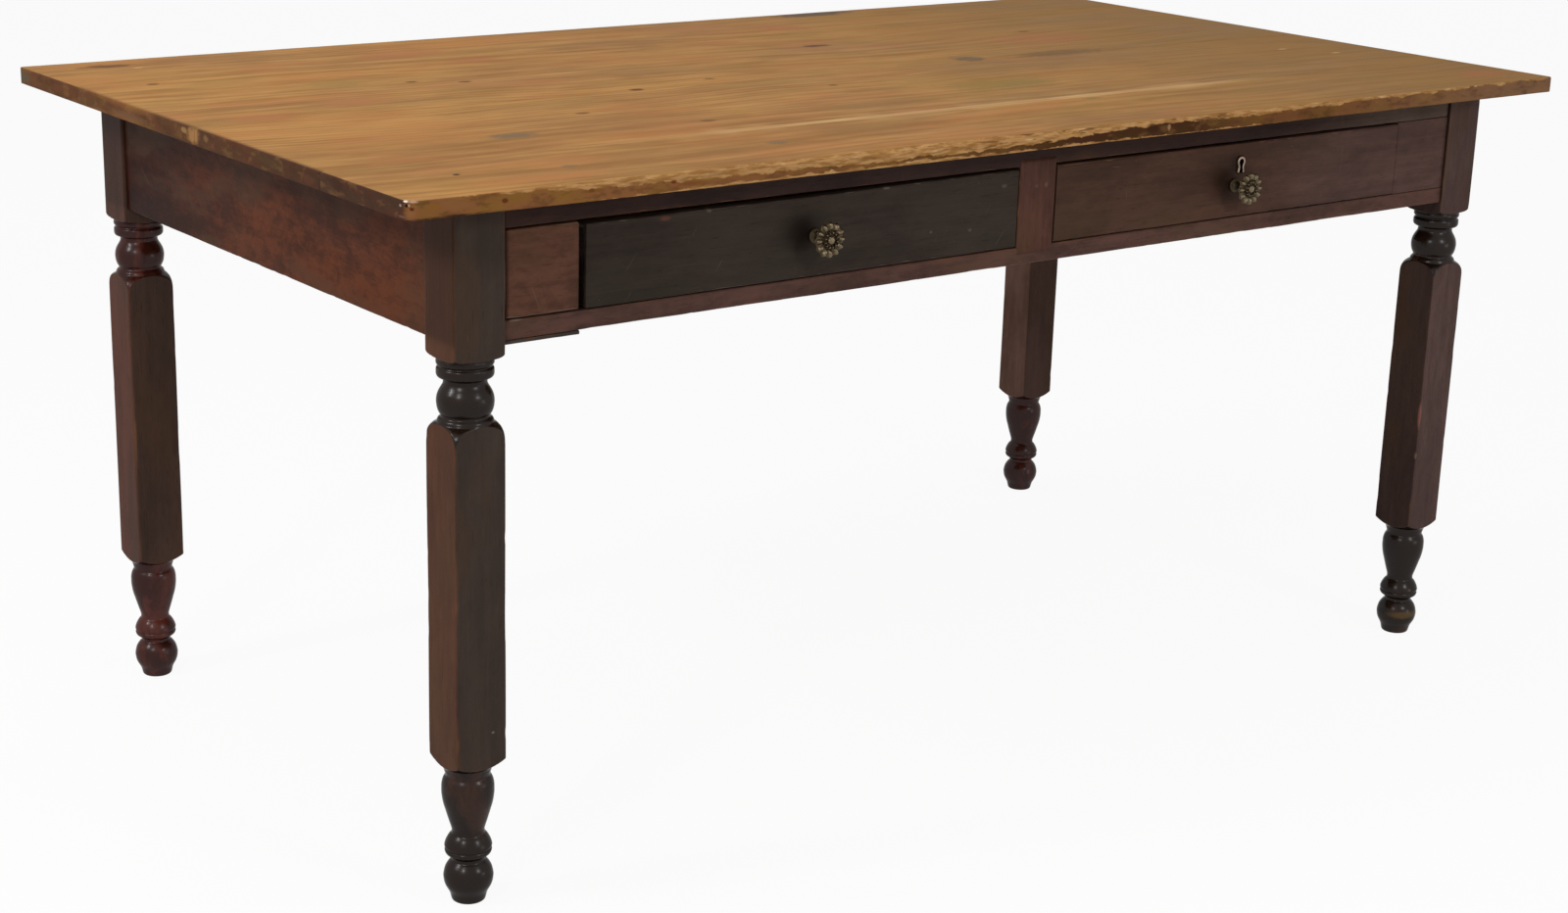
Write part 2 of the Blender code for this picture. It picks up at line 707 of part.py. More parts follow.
def wedge_mesh(name, wedges):
    """Dovetail shapes, each (x0, x1, y0, y1, (low, high) heights at y0, (low, high) heights at y1)."""
    shape = bmesh.new()
    for x0, x1, y0, y1, front, back in wedges:
        made = bmesh.ops.create_cube(shape, size=1)
        for vert in made["verts"]:
            ends = front if vert.co.y < 0 else back
            z = ends[0] if vert.co.z < 0 else ends[1]
            vert.co = (x0 if vert.co.x < 0 else x1, y0 if vert.co.y < 0 else y1, z)
    mesh = bpy.data.meshes.new(name)
    shape.to_mesh(mesh)
    shape.free()
    return mesh


def tail_edges(side_height):
    """The tails' (low, high) heights at their tips and at their roots, above the side's lower edge."""
    pitch = side_height / TAIL_COUNT
    tips, roots = [], []
    for index in range(TAIL_COUNT):
        middle = pitch * (index + 0.5)
        tips.append((middle - pitch * TAIL_TIP_SHARE, middle + pitch * TAIL_TIP_SHARE))
        roots.append((middle - pitch * TAIL_ROOT_SHARE, middle + pitch * TAIL_ROOT_SHARE))
    return tips, roots


def line_through(start, end, at):
    """The value at a place on the straight line through two (place, value) points."""
    return start[1] + (end[1] - start[1]) * (at - start[0]) / (end[0] - start[0])


def spread(tips, roots, y0, y1, grow):
    """The same tail sides carried on to y0 and y1, and moved outwards by grow."""
    tip_y = FRONT_BACK_FACE - TAIL_LENGTH
    ends = []
    for y in (y0, y1):
        low = line_through((tip_y, tips[0]), (FRONT_BACK_FACE, roots[0]), y) - grow
        high = line_through((tip_y, tips[1]), (FRONT_BACK_FACE, roots[1]), y) + grow
        ends.append((low, high))
    return ends


def make_drawer_side(name, faces, carrier):
    """A drawer side whose front end is cut to dovetails."""
    low = (faces[0], FRONT_BACK_FACE - TAIL_LENGTH, SIDE_BOTTOM)
    side = block(name, low, (faces[1], DRAWER_REAR, SIDE_TOP), BARE_WOOD, carrier)
    tips, roots = tail_edges(SIDE_TOP - SIDE_BOTTOM)
    y0, y1 = FRONT_BACK_FACE - TAIL_LENGTH - OVERRUN, FRONT_BACK_FACE + GAP
    x0, x1 = faces[0] - OVERRUN, faces[1] + OVERRUN
    marks = [spread(tip, root, y0, y1, 0) for tip, root in zip(tips, roots)]
    floor, ceiling = -OVERRUN, SIDE_TOP - SIDE_BOTTOM + OVERRUN
    waste = []
    for index in range(TAIL_COUNT + 1):
        ends = []
        for end in range(2):
            low = marks[index - 1][end][1] if index else floor
            high = marks[index][end][0] if index < TAIL_COUNT else ceiling
            ends.append((SIDE_BOTTOM + low, SIDE_BOTTOM + high))
        waste.append((x0, x1, y0, y1, ends[0], ends[1]))
    boolean(side, cutter(name + "_waste", wedge_mesh(name + "_waste", waste)))
    return side


def cut_sockets(front, faces, outward):
    """Sockets for one side's tails in the end of a drawer front, open at the end and the back."""
    tips, roots = tail_edges(SIDE_TOP - SIDE_BOTTOM)
    y0 = FRONT_BACK_FACE - TAIL_LENGTH - GAP
    y1 = FRONT_BACK_FACE + OVERRUN
    x0 = faces[0] - (OVERRUN if outward < 0 else GAP)
    x1 = faces[1] + (OVERRUN if outward > 0 else GAP)
    sockets = []
    for tip, root in zip(tips, roots):
        ends = spread(tip, root, y0, y1, GAP)
        lifted = [(SIDE_BOTTOM + low, SIDE_BOTTOM + high) for low, high in ends]
        sockets.append((x0, x1, y0, y1, lifted[0], lifted[1]))
    name = front.name + ("_sockets_left" if outward < 0 else "_sockets_right")
    boolean(front, cutter(name, wedge_mesh(name, sockets)))


def make_drawer(side_name, span, stain):
    """A drawer box: dovetailed sides, a housed back and a bottom that slides in grooves."""
    left, right = span
    middle = (left + right) / 2
    name = "drawer_" + side_name
    carrier = empty(name, (middle, FRONT_FACE, (DRAWER_BOTTOM + DRAWER_TOP) / 2))
    low = (left, FRONT_FACE, DRAWER_BOTTOM)
    high = (right, FRONT_BACK_FACE, DRAWER_TOP)
    front = block(name + "_front", low, high, stain, carrier)
    left_faces = (left, left + DRAWER_SIDE_THICKNESS)
    right_faces = (right - DRAWER_SIDE_THICKNESS, right)
    sides = [
        make_drawer_side(name + "_side_left", left_faces, carrier),
        make_drawer_side(name + "_side_right", right_faces, carrier),
    ]
    cut_sockets(front, left_faces, -1)
    cut_sockets(front, right_faces, 1)

    groove_left = left_faces[1] - GROOVE_DEPTH
    groove_right = right_faces[0] + GROOVE_DEPTH
    room = Vector((GAP, GAP, GAP))
    low = Vector((groove_left + GAP, FRONT_BACK_FACE - GROOVE_DEPTH, PANEL_LOW))
    high = Vector((groove_right - GAP, DRAWER_REAR, PANEL_HIGH))
    block(name + "_bottom", low, high, BARE_WOOD, carrier)
    past = high + room + Vector((0, OVERRUN, 0))
    groove = cutter(name + "_groove", box_mesh(name + "_groove", [(low - room, past)]))
    for piece in [front] + sides:
        boolean(piece, groove)

    rear = DRAWER_REAR - DRAWER_BACK_SETBACK
    low = Vector((groove_left + GAP, rear - DRAWER_BACK_THICKNESS, PANEL_HIGH + GAP))
    high = Vector((groove_right - GAP, rear, SIDE_TOP - DRAWER_BACK_DROP))
    block(name + "_back", low, high, BARE_WOOD, carrier)
    past = high + room + Vector((0, 0, DRAWER_BACK_DROP + OVERRUN))
    housing = cutter(name + "_housing", box_mesh(name + "_housing", [(low - room, past)]))
    for piece in sides:
        boolean(piece, housing)
    return carrier, front


def rosette_mesh(name):
    """A cast flower: a turned disc whose petals and scalloped rim follow the cosine of the angle."""
    radius, thick = ROSETTE_RADIUS, ROSETTE_THICKNESS
    profile = [(r * radius, t * thick) for r, t in ROSETTE_SHARES] + [(radius, 0), (0, 0)]
    mesh = turned_mesh(name, profile, ROSETTE_SEGMENTS)
    inner, outer = (share * radius for share in PETAL_BAND_SHARES)
    for vert in mesh.vertices:
        reach = math.hypot(vert.co.x, vert.co.y)
        wave = math.cos(ROSETTE_PETALS * math.atan2(vert.co.y, vert.co.x))
        if reach > inner:
            grown = 1 + SCALLOP_SHARE * wave * reach / radius
            vert.co.x *= grown
            vert.co.y *= grown
        if inner < reach < outer:
            vert.co.z *= 1 - PETAL_DEPTH_SHARE * (1 - wave) / 2
    smooth(mesh, math.radians(30))
    return mesh


def make_knob(side_name, carrier, front, x, rise):
    """A rosette on a waisted neck with a round base, held by a bolt through the drawer front."""
    name = "knob_" + side_name
    z = DRAWER_BOTTOM + rise
    forward = (math.pi / 2, 0, 0)
    bore = BOLT_RADIUS + GAP
    place = (x, FRONT_FACE - GAP, z)

    start = KNOB_BASE_THICKNESS
    end = start + KNOB_NECK_LENGTH
    flare = (KNOB_NECK_END_RADIUS + KNOB_NECK_WAIST_RADIUS) / 2
    flare_length = KNOB_NECK_LENGTH * KNOB_FLARE_SHARE
    profile = [
        (bore, end),
        (KNOB_NECK_END_RADIUS, end),
        (flare, end - flare_length),
        (KNOB_NECK_WAIST_RADIUS, (start + end) / 2),
        (flare, start + flare_length),
        (KNOB_NECK_END_RADIUS, start),
        (KNOB_BASE_RADIUS, start / 2),
        (KNOB_BASE_RADIUS, 0),
        (bore, 0),
    ]
    neck = turned_mesh(name + "_neck", profile, KNOB_SEGMENTS, ring=True)
    smooth(neck)
    piece_of(name + "_neck", neck, BRONZE, place, carrier, forward)

    face = end + GAP
    rosette_place = (x, FRONT_FACE - GAP - face, z)
    mesh = rosette_mesh(name + "_rosette")
    rosette = piece_of(name + "_rosette", mesh, BRONZE, rosette_place, carrier, forward)

    inside = -DRAWER_FRONT_THICKNESS - GAP * 2
    nut_low = inside - NUT_THICKNESS
    bolt_low = nut_low - BOLT_TAIL
    bolt_high = face + BOLT_BITE
    bolt = cylinder_mesh(name + "_bolt", BOLT_RADIUS, bolt_low, bolt_high, BORE_SEGMENTS)
    smooth(bolt)
    piece_of(name + "_bolt", bolt, IRON, place, carrier, forward)

    mesh = cylinder_mesh(name + "_hole", bore, bolt_low - GAP, bolt_high + GAP, BORE_SEGMENTS)
    hole = cutter(name + "_hole", mesh, place, forward)
    half = NUT_SIDE / 2
    back = FRONT_FACE - GAP - inside
    low = (x - half, back, z - half)
    nut = block(name + "_nut", low, (x + half, back + NUT_THICKNESS, z + half), IRON, carrier)
    for piece in (rosette, front, nut):
        boolean(piece, hole)


def keyhole_outline(grow):
    """A keyhole: a round head over a straight foot, moved outwards by grow."""
    radius = KEYHOLE_HEAD_RADIUS + grow
    half = KEYHOLE_FOOT_WIDTH / 2 + grow
    start = -math.asin(math.sqrt(radius**2 - half**2) / radius)
    points = []
    for index in range(KEYHOLE_ARC_POINTS):
        angle = start + (math.pi - 2 * start) * index / (KEYHOLE_ARC_POINTS - 1)
        points.append((radius * math.cos(angle), radius * math.sin(angle)))
    points.append((-half, -KEYHOLE_DROP - grow))
    points.append((half, -KEYHOLE_DROP - grow))
    return points


def make_lock(carrier, front, rail, middle):
    """A keyhole thread in the front, and behind it the lock's case and its upright bolt."""
    x = middle + KEYHOLE_OFFSET
    z = DRAWER_BOTTOM + KEYHOLE_RISE
    forward = (math.pi / 2, 0, 0)
    place = (x, FRONT_FACE, z)
    inner, outer = keyhole_outline(0), keyhole_outline(ESCUTCHEON_WALL)
    ring = outline_mesh("escutcheon", [outer, inner], -ESCUTCHEON_DEPTH, ESCUTCHEON_PROUD)
    piece_of("escutcheon", ring, BRASS, place, carrier, forward)
    wide = keyhole_outline(ESCUTCHEON_WALL + GAP)
    pocket = outline_mesh("escutcheon_pocket", [wide], -ESCUTCHEON_DEPTH - GAP, OVERRUN)
    boolean(front, cutter("escutcheon_pocket", pocket, place, forward))

    case_front = FRONT_BACK_FACE - LOCK_THICKNESS
    depth = case_front + KEY_DEPTH - FRONT_FACE
    hole = cutter("keyhole", outline_mesh("keyhole", [inner], -depth, 0), place, forward)
    boolean(front, hole)
    low = Vector((x - LOCK_WIDTH / 2, case_front, DRAWER_TOP - LOCK_HEIGHT))
    high = Vector((x + LOCK_WIDTH / 2, FRONT_BACK_FACE, DRAWER_TOP - GAP))
    case = block("lock_case", low, high, IRON, carrier)
    boolean(case, hole)
    room = Vector((GAP, GAP, GAP))
    past = high + room + Vector((0, OVERRUN, OVERRUN))
    boolean(front, cutter("lock_recess", box_mesh("lock_recess", [(low - room, past)])))

    lift = LOCK_BOLT_CLEARANCE
    y = FRONT_BACK_FACE - LOCK_THICKNESS / 2 - LOCK_BOLT_THICKNESS / 2
    top = DRAWER_TOP - lift
    low = Vector((x - LOCK_BOLT_WIDTH / 2, y, top - LOCK_BOLT_HEIGHT))
    high = Vector((x + LOCK_BOLT_WIDTH / 2, y + LOCK_BOLT_THICKNESS, top))
    bolt_carrier = empty("lock_bolt_slide", ((low + high) / 2), carrier)
    block("lock_bolt", low, high, BRASS, bolt_carrier)
    slot_high = high + room + Vector((0, 0, lift + OVERRUN))
    slot = box_mesh("lock_slot", [(low - room, slot_high)])
    boolean(case, cutter("lock_slot", slot))
    keep_low = Vector((low.x - lift, low.y - lift, OPENING_TOP - OVERRUN))
    keep_high = Vector((high.x + lift, high.y + lift, top + LOCK_BOLT_TRAVEL + lift))
    keep = box_mesh("lock_keep", [(keep_low, keep_high)])
    boolean(rail, cutter("lock_keep", keep))


def main():
    boards = make_top()
    legs = make_legs()
    aprons = make_aprons(legs)
    over, under = make_front(legs)
    kickers = make_bearers(over, under, aprons["back"])
    make_stops()
    make_glue_blocks()
    make_top_screws(boards, kickers)
    left, left_front = make_drawer("left", LEFT_DRAWER, LEFT_FRONT_STAIN)
    x = sum(LEFT_DRAWER) / 2 + LEFT_KNOB_OFFSET
    make_knob("left", left, left_front, x, LEFT_KNOB_RISE)
    right, right_front = make_drawer("right", RIGHT_DRAWER, RIGHT_FRONT_STAIN)
    x = sum(RIGHT_DRAWER) / 2 + RIGHT_KNOB_OFFSET
    make_knob("right", right, right_front, x, RIGHT_KNOB_RISE)
    make_lock(right, right_front, over, sum(RIGHT_DRAWER) / 2)


main()
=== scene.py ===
# %% [markdown]
# # A farmhouse table with two drawers
# An old country table: four pine boards, scrubbed and oiled to honey, on a dark stained base
# with four turned legs and two drawers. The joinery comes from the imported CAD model, which is
# loaded first and never moved. Everything after it dresses those solids: finer legs, boards with
# worn arrises, cast knobs, and a procedural finish for each kind of wood and metal.

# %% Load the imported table
import math

import bpy
import numpy as np
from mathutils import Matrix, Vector


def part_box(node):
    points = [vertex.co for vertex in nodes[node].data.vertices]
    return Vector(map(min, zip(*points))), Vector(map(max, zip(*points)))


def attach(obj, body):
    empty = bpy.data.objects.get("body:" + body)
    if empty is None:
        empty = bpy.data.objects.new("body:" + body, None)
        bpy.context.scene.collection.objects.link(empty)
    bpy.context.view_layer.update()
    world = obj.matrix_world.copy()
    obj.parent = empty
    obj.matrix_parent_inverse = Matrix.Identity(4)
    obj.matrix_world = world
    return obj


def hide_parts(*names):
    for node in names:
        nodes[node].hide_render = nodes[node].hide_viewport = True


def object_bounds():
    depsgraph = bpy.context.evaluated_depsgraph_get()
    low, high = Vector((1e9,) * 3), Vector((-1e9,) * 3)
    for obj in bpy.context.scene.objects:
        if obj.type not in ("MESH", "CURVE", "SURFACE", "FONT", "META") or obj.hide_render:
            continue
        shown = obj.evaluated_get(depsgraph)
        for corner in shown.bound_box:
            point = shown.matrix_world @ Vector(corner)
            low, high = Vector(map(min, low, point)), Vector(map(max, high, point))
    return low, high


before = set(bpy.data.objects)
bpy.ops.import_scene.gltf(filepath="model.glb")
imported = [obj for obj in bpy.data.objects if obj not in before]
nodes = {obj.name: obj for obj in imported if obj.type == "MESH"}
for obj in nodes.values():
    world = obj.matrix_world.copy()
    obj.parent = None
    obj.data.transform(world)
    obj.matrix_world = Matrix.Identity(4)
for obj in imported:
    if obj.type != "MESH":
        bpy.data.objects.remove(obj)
cad_box = [list(corner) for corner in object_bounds()]
MM = 0.001


def node_box(name):
    """The lowest and highest corner of a CAD node, as two arrays."""
    low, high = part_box(name)
    return np.array(low), np.array(high)


# %% [markdown]
# ## Camera
# A camera only has to be somewhere, turned some way, with a lens. These three came from matching
# the corners of the real table in its photograph to the same corners of the model, so the render
# can be laid over the photograph. The lens is long for a table shot, which keeps the legs upright.

# %% Place the camera
CAMERA_PLACE = (-2.0115, -2.5495, 1.2434)
CAMERA_TURN_DEGREES = (73.2245, -1.6405, -37.2520)
LENS_MM = 60.397
SENSOR_MM = 36.0

camera_data = bpy.data.cameras.new("camera")
camera_data.lens = LENS_MM
camera_data.sensor_width = SENSOR_MM
camera_data.sensor_fit = "HORIZONTAL"
camera = bpy.data.objects.new("camera", camera_data)
camera.location = CAMERA_PLACE
camera.rotation_euler = [math.radians(angle) for angle in CAMERA_TURN_DEGREES]
bpy.context.scene.collection.objects.link(camera)
bpy.context.scene.camera = camera
bpy.context.scene.view_settings.view_transform = "Standard"
print("camera", CAMERA_PLACE)


# %% [markdown]
# ## A short way to write node trees
# Every finish below is a tree of shader nodes. Written out in full, one noise texture takes five
# lines. So a small class stands for what a node gives out, and each of its methods adds the next
# node. Plus, minus and times are math nodes, and share.mix(first, second) goes from one colour to
# another as the share goes from 0 to 1. A line of a finish then reads like the sum it stands for.

# %% Write materials as recipes
def linear(red, green, blue):
    """An 8-bit sRGB colour as Blender's linear colour: the sRGB curve undone channel by channel."""
    share = np.array([red, green, blue]) / 255
    low = share / 12.92
    high = ((share + 0.055) / 1.055) ** 2.4
    return (*np.where(share <= 0.04045, low, high).tolist(), 1.0)


class Signal:
    """What one node gives out, be it numbers, places or a colour. Each method adds a node to it."""

    def __init__(self, recipe, socket):
        self.recipe = recipe
        self.socket = socket

    def __add__(self, other):
        return self.recipe.math("ADD", self, other)

    def __sub__(self, other):
        return self.recipe.math("SUBTRACT", self, other)

    def __mul__(self, other):
        return self.recipe.math("MULTIPLY", self, other)

    def __abs__(self):
        return self.recipe.math("ABSOLUTE", self)

    def most(self, other):
        return self.recipe.math("MAXIMUM", self, other)

    def axis(self, number):
        """One of the three numbers of a place."""
        return self.recipe.signal("SeparateXYZ", {0: self}, number)

    def mapped(self, scale=(1, 1, 1), shift=(0, 0, 0)):
        """These places, scaled along each axis and then shifted."""
        inputs = {"Vector": self, "Location": shift, "Scale": scale}
        return self.recipe.signal("Mapping", inputs)

    def within(self, centre, half_sizes, turn=(0, 0, 0)):
        """These places as a turned box sees them: 0 at its centre and 1 on its sides."""
        inputs = {"Vector": self, "Location": centre, "Rotation": turn, "Scale": half_sizes}
        return self.recipe.signal("Mapping", inputs, vector_type="TEXTURE")

    def noise(self, scale, detail=2.0, roughness=0.5, distortion=0.0):
        """Smooth random numbers at these places, with about as many waves in a metre as the scale."""
        inputs = {"Vector": self, "Scale": scale, "Detail": detail}
        inputs.update({"Roughness": roughness, "Distortion": distortion})
        return self.recipe.signal("TexNoise", inputs)

    def ramp(self, low, high, to_low=0.0, to_high=1.0):
        """Smooth step: to_low below low, to_high above high, eased between."""
        inputs = {"Value": self, "From Min": low, "From Max": high}
        inputs.update({"To Min": to_low, "To Max": to_high})
        return self.recipe.signal("MapRange", inputs, interpolation_type="SMOOTHSTEP")

    def mix(self, first, second):
        """The first colour where this is 0 and the second where it is 1. Three numbers are sRGB."""
        inputs = {0: self}
        for key, colour in ((6, first), (7, second)):
            plain = isinstance(colour, tuple) and len(colour) == 3
            inputs[key] = linear(*colour) if plain else colour
        return self.recipe.signal("Mix", inputs, 2, data_type="RGBA")

    def bump(self, distance):
        """The surface's normals, tilted as if this were its height."""
        return self.recipe.signal("Bump", {"Height": self, "Distance": distance})


class Recipe:
    """A material's node tree, filled one node after another."""

    def __init__(self, name, tree=None):
        if tree is None:
            self.material = bpy.data.materials.new(name)
            self.material.use_nodes = True
            tree = self.material.node_tree
        self.tree = tree
        self.tree.nodes.clear()

    def node(self, kind, inputs, **settings):
        """Adds a node. Each input is a number, a colour or the signal of an earlier node."""
        made = self.tree.nodes.new("ShaderNode" + kind)
        for key, value in settings.items():
            setattr(made, key, value)
        for key, value in inputs.items():
            if isinstance(value, Signal):
                self.tree.links.new(value.socket, made.inputs[key])
            else:
                made.inputs[key].default_value = value
        return made

    def signal(self, kind, inputs, output=0, **settings):
        """Adds a node and gives the signal of one of its outputs."""
        return Signal(self, self.node(kind, inputs, **settings).outputs[output])

    def math(self, operation, first, second=0.0):
        return self.signal("Math", {0: first, 1: second}, operation=operation)

    def places(self):
        return self.signal("TexCoord", {}, "Object")

    def attribute(self, name):
        """The numbers that a mesh carries under a name, and 0 on a mesh without them."""
        return self.signal("Attribute", {}, "Fac", attribute_name=name)

    def surface(self, colour, roughness, normal, **fixed):
        """The finished shader. What is the same all over is set on its own socket."""
        inputs = {"Base Color": colour, "Roughness": roughness, "Normal": normal}
        inputs.update({key.replace("_", " "): value for key, value in fixed.items()})
        self.node("OutputMaterial", {"Surface": self.signal("BsdfPrincipled", inputs)})
        return self.material


# %% [markdown]
# ## Studio
# The photograph was taken in a white studio. The bright spots on the turned balls tell where its
# lamps stood: two tall soft boxes to the left and one to the right of the camera, all well above
# the table. The soft shadows beside the knobs add a low light in front. The rest comes off pale
# walls, which are the world's colour here. The power of the lamps is chosen so that a colour
# renders about as it is written.
# The floor and the world are white to the camera through Light Path, not through extra light, and
# the floor is only part white, so the table keeps its shadow.

# %% Light the table and lay the floor
AMBIENT = 0.36
FLOOR_SIZE = 60.0
FLOOR_GREY = 0.82
FLOOR_LIFT = 0.93
PURE_WHITE = (1, 1, 1, 1)
# The rays that see white: straight from the camera, off gloss and through glass
WHITE_RAYS = ("Is Camera Ray", "Is Glossy Ray", "Is Transmission Ray")
# Each soft box as (name, place, aimed at, width, height, watts)
SOFT_BOXES = (
    ("left_box", (-3.05, 0.30, 2.35), (-0.5, 0.0, 0.55), 0.30, 0.6, 30),
    ("left_front_box", (-2.85, -1.55, 2.25), (-0.5, -0.2, 0.50), 0.28, 0.6, 22),
    ("right_box", (0.55, -3.10, 1.95), (0.1, -0.3, 0.50), 0.34, 0.6, 20),
    ("low_box", (1.70, -3.00, 0.45), (0.2, -0.4, 0.60), 0.90, 0.5, 6),
    ("top_box", (-0.6, 0.3, 3.10), (-0.1, 0.0, 0.76), 2.2, 1.4, 22),
)


def white_share(recipe):
    """One for the rays that see white, and nought for the light on the table."""
    path = recipe.node("LightPath", {}).outputs
    camera_ray, glossy_ray, clear_ray = [Signal(recipe, path[name]) for name in WHITE_RAYS]
    return camera_ray.most(glossy_ray).most(clear_ray)


for name, place, aim, width, height, watts in SOFT_BOXES:
    lamp = bpy.data.lights.new(name, "AREA")
    lamp.shape = "RECTANGLE"
    lamp.size = width
    lamp.size_y = height
    lamp.energy = watts
    box = bpy.data.objects.new(name, lamp)
    direction = Vector(aim) - Vector(place)
    box.location = place
    box.rotation_euler = direction.to_track_quat("-Z", "Y").to_euler()
    bpy.context.scene.collection.objects.link(box)

world = bpy.data.worlds.new("pale_studio")
world.use_nodes = True
bpy.context.scene.world = world
walls = Recipe("walls", world.node_tree)
strength = white_share(walls) * (1.0 - AMBIENT) + AMBIENT
wall_light = walls.signal("Background", {"Color": PURE_WHITE, "Strength": strength})
walls.node("OutputWorld", {"Surface": wall_light})

lino = Recipe("studio_floor")
matt = lino.signal("BsdfDiffuse", {"Color": (FLOOR_GREY, FLOOR_GREY, FLOOR_GREY, 1)})
white = lino.signal("Emission", {"Color": PURE_WHITE, "Strength": 1.0})
lifted = lino.signal("MixShader", {0: white_share(lino) * FLOOR_LIFT, 1: matt, 2: white})
lino.node("OutputMaterial", {"Surface": lifted})

half_floor = FLOOR_SIZE / 2
floor_mesh = bpy.data.meshes.new("studio_floor")
floor_corners = [(x * half_floor, y * half_floor, 0) for x, y in ((-1, -1), (1, -1), (1, 1), (-1, 1))]
floor_mesh.from_pydata(floor_corners, [], [(0, 1, 2, 3)])
floor_mesh.materials.append(lino.material)
studio_floor = bpy.data.objects.new("studio_floor", floor_mesh)
bpy.context.scene.collection.objects.link(studio_floor)
print("soft boxes", len(SOFT_BOXES))


# %% [markdown]
# ## Stained wood
# The base was brushed with a dark walnut stain and then a century of hands and polish. What the
# eye reads is, from coarse to fine: blotches where the stain took unevenly, some of them going
# olive, soft streaks along the grain, hair-fine fibres, and short dark pores. Each is one noise,
# squeezed along the grain. Numbers that the meshes carry do the rest: "worn" is where an arris has
# rubbed through, and on the legs also a painted highlight where the turning runs out;
# "grime_and_shade" is where polish has gathered, and also painted shade and shadow under the top on
# the leg blocks, beside a leg and round the knobs; "turned" is the glossy lathe work; and "second"
# is a second pair of browns that paints in light and shade: the lit and shaded faces of the legs,
# the shaded back of the end aprons, and the lighter right end of the front.

# %% Mix the stained finishes
GRAIN_STRETCH = 0.07
STREAK_SCALE = 110.0
FIBRE_SCALE = 620.0
CLOUD_SCALE = 9.0
BLOTCH_SCALE = 26.0
SCUFF_SCALE = 58.0
MOTTLE_SCALE = 85.0
SCRATCH_SCALE = 210.0
SCRATCH_STRETCH = 12
DARKER_SHARE = 0.45
LATHE_COVER = 0.97
STAIN_RELIEF = 0.00012
FLAT_COAT = 0.01
TURNED_COAT = 0.11
COAT_ROUGHNESS = 0.27
COAT_IOR = 2.2
# The lathe work as (warm patches, dark ground), as it is on the front legs and on the back legs
FRONT_LATHE = ((52, 29, 18), (24, 12, 5))
BACK_LATHE = ((80, 35, 27), (47, 16, 10))
# The depth where the marks on the front faces are, and how far they reach through it
FRONT_FACE_Y = -0.408
MARK_REACH = 0.010


def grain_scale(axis, squeeze):
    """One along the two cross axes and the squeeze along the grain."""
    return tuple(squeeze if letter == axis else 1.0 for letter in "xyz")


def scratches_along(places, turn, stretch, shift):
    """Thin straight scratches: noise drawn out along one axis after the axes are turned."""
    return places.within(shift, stretch, turn).noise(SCRATCH_SCALE, 2.0, 0.55).ramp(0.72, 0.77)


def marked(colour, places, ragged, centre, half_sizes, mark_colour, strength):
    """The colour with one mark on it: a soft ellipsoid at the centre, its rim made ragged by a noise."""
    local = places.within(centre, half_sizes)
    reach = places.recipe.signal("VectorMath", {0: local}, "Value", operation="LENGTH") + ragged * 0.9
    return reach.ramp(0.85, 1.5, strength, 0.0).mix(colour, mark_colour)


def face_marks(piece):
    """The marks on the face of one piece of the front, with their depth filled in."""
    return [
        ((x, FRONT_FACE_Y, z), (half_x, MARK_REACH, half_z), colour, strength)
        for x, z, half_x, half_z, colour, strength in FACE_MARKS[piece]
    ]


